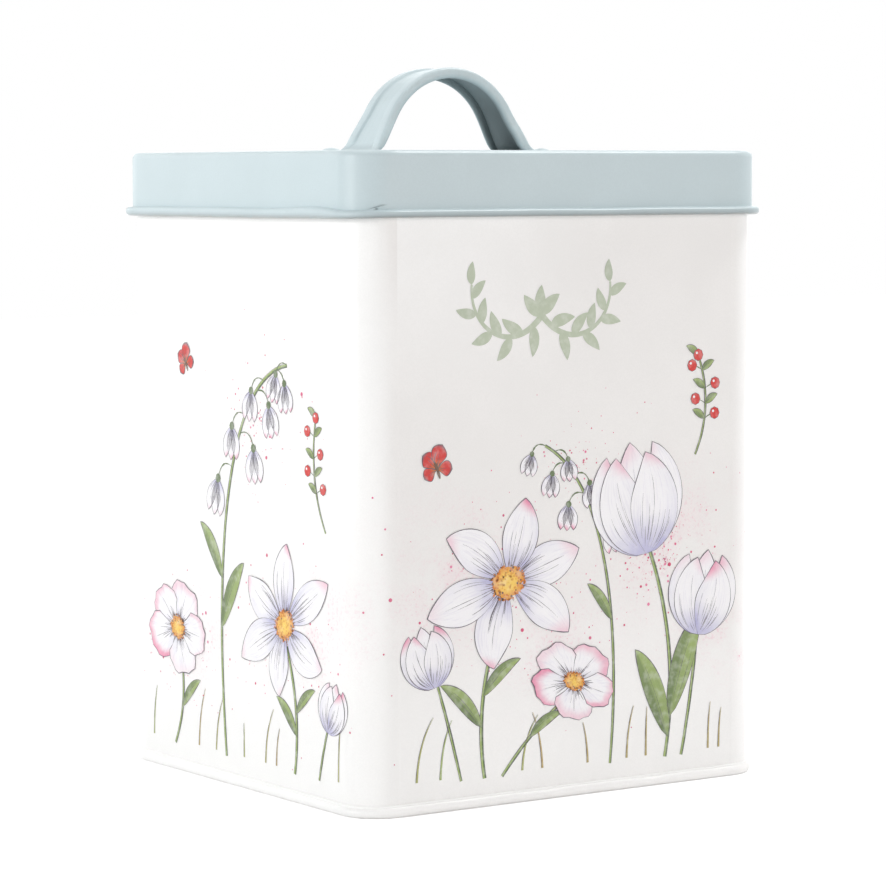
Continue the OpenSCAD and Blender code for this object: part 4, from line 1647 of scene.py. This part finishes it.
def back_flowers(art):
    art.specks(4, 60, 38, 260)
    art.stem((2, 8), (10, 34), (4, 58), leaves=leaf_pair(0.3, 0.46, 18))
    art.stem((-10, 8), (-24, 20), (-31, 34), width=0.9)
    art.stem((14, 8), (30, 18), (37, 34), width=0.9)
    art.star(4, 67, 28, 0.88, 0.1, 0.6, level=8)
    art.rose(-32, 37, 18, 0.76, 0.4, 0.2, level=18)
    art.rose(37, 37, 17, 0.78, -0.4, 1.0, level=18)


def back_sprigs(art):
    path = art.stem((-44, 8), (-55, 50), (-47, 88), (-29, 98), width=0.85)
    art.bells(path, (0.6, 0.7, 0.8, 0.9, 1.0), 10, -1)
    art.berries((47, 62), (51, 78), (45, 94), count=5, size=1.7)
    art.butterfly(32, 116, 7.2, 0.3)
    art.butterfly(-22, 122, 6.0, -0.5)
    art.grass((-52, -38, -20, -4, 22, 30, 48, 54), 16)


def back_ornament(art):
    art.garland(4, 144, 24, 8)


PRINTS = (
    (0, (front_flowers, front_tulips, front_sprigs, front_ornament)),
    (1, (right_tulips, right_sprigs)),
    (2, (back_flowers, back_sprigs, back_ornament)),
    (3, (left_flowers, left_spray)),
)


class SEEDTIN_OT_print(bpy.types.Operator):
    """Prints the garden design on the tin's four faces"""

    bl_idname = "seed_tin.print"
    bl_label = "Print"

    def execute(self, context):
        scene = context.scene
        for face, motifs in PRINTS:
            for index, motif in enumerate(motifs):
                art = Print(scene.seed_tin_inks, 10 * face + index)
                motif(art)
                art.piece(scene, f"print_{motif.__name__}", face)
        return {"FINISHED"}


# Stage

class SEEDTIN_OT_stage(bpy.types.Operator):
    """Sets up the floor, the soft lamps, the sky and the camera"""

    bl_idname = "seed_tin.stage"
    bl_label = "Stage"

    def execute(self, context):
        scene = context.scene
        stage = scene.seed_tin_stage
        scene.view_settings.view_transform = "Standard"
        floor(scene)
        sky(scene, stage.sky)
        white, warm = (1.0, 1.0, 1.0), (1.0, 0.96, 0.947)
        softbox("left_softbox", (-1.41, 0.13, 0.5), 0.4, 0.8, stage.left_power, white)
        softbox("front_softbox", (0.4, -1.55, 0.38), 1.4, 0.8, stage.front_power, warm)
        softbox("top_softbox", (0.7, -0.1, 1.2), 0.3, 0.3, stage.top_power, white)
        softbox("overhead_softbox", (-0.15, 0.15, 1.5), 0.8, 0.8, stage.overhead_power, white)
        softbox("right_softbox", (1.05, 1.25, 0.6), 1.2, 1.1, stage.back_power, white)
        softbox("back_softbox", (-0.5, 1.5, 0.6), 1.2, 1.1, stage.back_power, white)
        camera(scene)
        return {"FINISHED"}


def softbox(name, place, width, height, power, tint):
    """A square soft lamp that looks at the middle of the tin."""
    data = bpy.data.lights.new(name, "AREA")
    data.shape = "RECTANGLE"
    data.size = width
    data.size_y = height
    data.energy = power
    data.color = tint
    lamp = bpy.data.objects.new(name, data)
    bpy.context.scene.collection.objects.link(lamp)
    lamp.location = place
    looks = Vector((0.0, 0.0, 0.1)) - Vector(place)
    lamp.rotation_euler = looks.to_track_quat("-Z", "Y").to_euler()


def seen_directly(tree):
    """1 for rays from the camera and for those that mirror or pass glass."""
    path = tree.add("ShaderNodeLightPath")
    seen = tree.math("MAXIMUM", path.outputs["Is Camera Ray"], path.outputs["Is Glossy Ray"])
    return tree.math("MAXIMUM", seen, path.outputs["Is Transmission Ray"])


def sky(scene, strength):
    """An even white sky that lights softly and looks plain white."""
    world = bpy.data.worlds.new("Plain sky")
    tree = bare_tree(world)
    level = tree.math("MAXIMUM", seen_directly(tree), strength)
    shader = tree.add("ShaderNodeBackground", {"Color": (1, 1, 1, 1), "Strength": level})
    tree.add("ShaderNodeOutputWorld", {"Surface": shader.outputs[0]})
    scene.world = world


def floor(scene):
    """A plain pale floor that keeps the tin's shadow and shows white round it:
    what is added for the eye alone rises with the distance from the tin."""
    reach = 3.0
    mesh = bpy.data.meshes.new("floor")
    steps = np.linspace(-reach, reach, 9)
    x, y = np.meshgrid(steps, steps)
    points = np.stack([x, y, np.zeros_like(x)], axis=-1).reshape(-1, 3)
    mesh.from_pydata(points.tolist(), [], grid_faces(*x.shape).tolist())
    material = bpy.data.materials.new("Pale floor")
    tree = bare_tree(material)
    place = tree.place()
    grain = tree.noise(place, 40.0)
    tone = tree.mix(grain, (0.86, 0.86, 0.86, 1), (0.88, 0.88, 0.88, 1))
    matte = tree.add("ShaderNodeBsdfDiffuse", {"Color": tone})
    far = tree.add("ShaderNodeVectorMath", {0: place}, operation="LENGTH").outputs["Value"]
    added = tree.step(0.1, 0.6, far, 0.45, 1.0)
    lift = tree.add("ShaderNodeEmission", {"Strength": tree.math("MULTIPLY", seen_directly(tree), added)})
    both = tree.add("ShaderNodeAddShader", {0: matte.outputs[0], 1: lift.outputs[0]})
    tree.add("ShaderNodeOutputMaterial", {"Surface": both.outputs[0]})
    mesh.materials.append(material)
    piece = bpy.data.objects.new("floor", mesh)
    scene.collection.objects.link(piece)


def camera(scene):
    """The photograph's view, found by fitting a camera to the tin's edges."""
    data = bpy.data.cameras.new("view")
    data.sensor_width = 36.0
    data.lens = 140.07
    data.clip_start = 0.05
    data.clip_end = 50.0
    eye = Vector((-0.57820, -0.85522, 0.17712))
    turn = Euler([math.radians(angle) for angle in (85.571718, 0.171335, -34.13748)])
    made = bpy.data.objects.new("view", data)
    made.matrix_world = Matrix.LocRotScale(eye, turn, None)
    scene.collection.objects.link(made)
    scene.camera = made


# Add-on

class SEEDTIN_PT_sidebar(bpy.types.Panel):
    """Sizes, finishes and build steps of the seed tin"""

    bl_idname = "SEEDTIN_PT_sidebar"
    bl_label = "Seed tin"
    bl_space_type = "VIEW_3D"
    bl_region_type = "UI"
    bl_category = "Seed tin"

    def draw(self, context):
        for operator in OPERATORS:
            self.layout.operator(operator.bl_idname)
        for name, group in GROUPS.items():
            box = self.layout.box()
            for field in group.__annotations__:
                box.prop(getattr(context.scene, name), field)


GROUPS = {
    "seed_tin_body": SeedTinBodySizes,
    "seed_tin_lid": SeedTinLidSizes,
    "seed_tin_handle": SeedTinHandleSizes,
    "seed_tin_cards": SeedTinCardSizes,
    "seed_tin_finish": SeedTinFinish,
    "seed_tin_inks": SeedTinInks,
    "seed_tin_stage": SeedTinStage,
}

OPERATORS = (
    SEEDTIN_OT_wall,
    SEEDTIN_OT_base,
    SEEDTIN_OT_lid,
    SEEDTIN_OT_handle,
    SEEDTIN_OT_fixings,
    SEEDTIN_OT_cards,
    SEEDTIN_OT_print,
    SEEDTIN_OT_stage,
)


def register():
    for made in (*GROUPS.values(), *OPERATORS, SEEDTIN_PT_sidebar):
        bpy.utils.register_class(made)
    for name, group in GROUPS.items():
        setattr(bpy.types.Scene, name, bpy.props.PointerProperty(type=group))


def unregister():
    for name in GROUPS:
        delattr(bpy.types.Scene, name)
    for made in (SEEDTIN_PT_sidebar, *reversed(OPERATORS), *reversed(GROUPS.values())):
        bpy.utils.unregister_class(made)


def main():
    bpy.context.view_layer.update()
    register()
    bpy.ops.seed_tin.wall()
    bpy.ops.seed_tin.base()
    bpy.ops.seed_tin.lid()
    bpy.ops.seed_tin.handle()
    bpy.ops.seed_tin.fixings()
    bpy.ops.seed_tin.cards()
    bpy.ops.seed_tin.print()
    bpy.ops.seed_tin.stage()


if __name__ == "__main__":
    main()
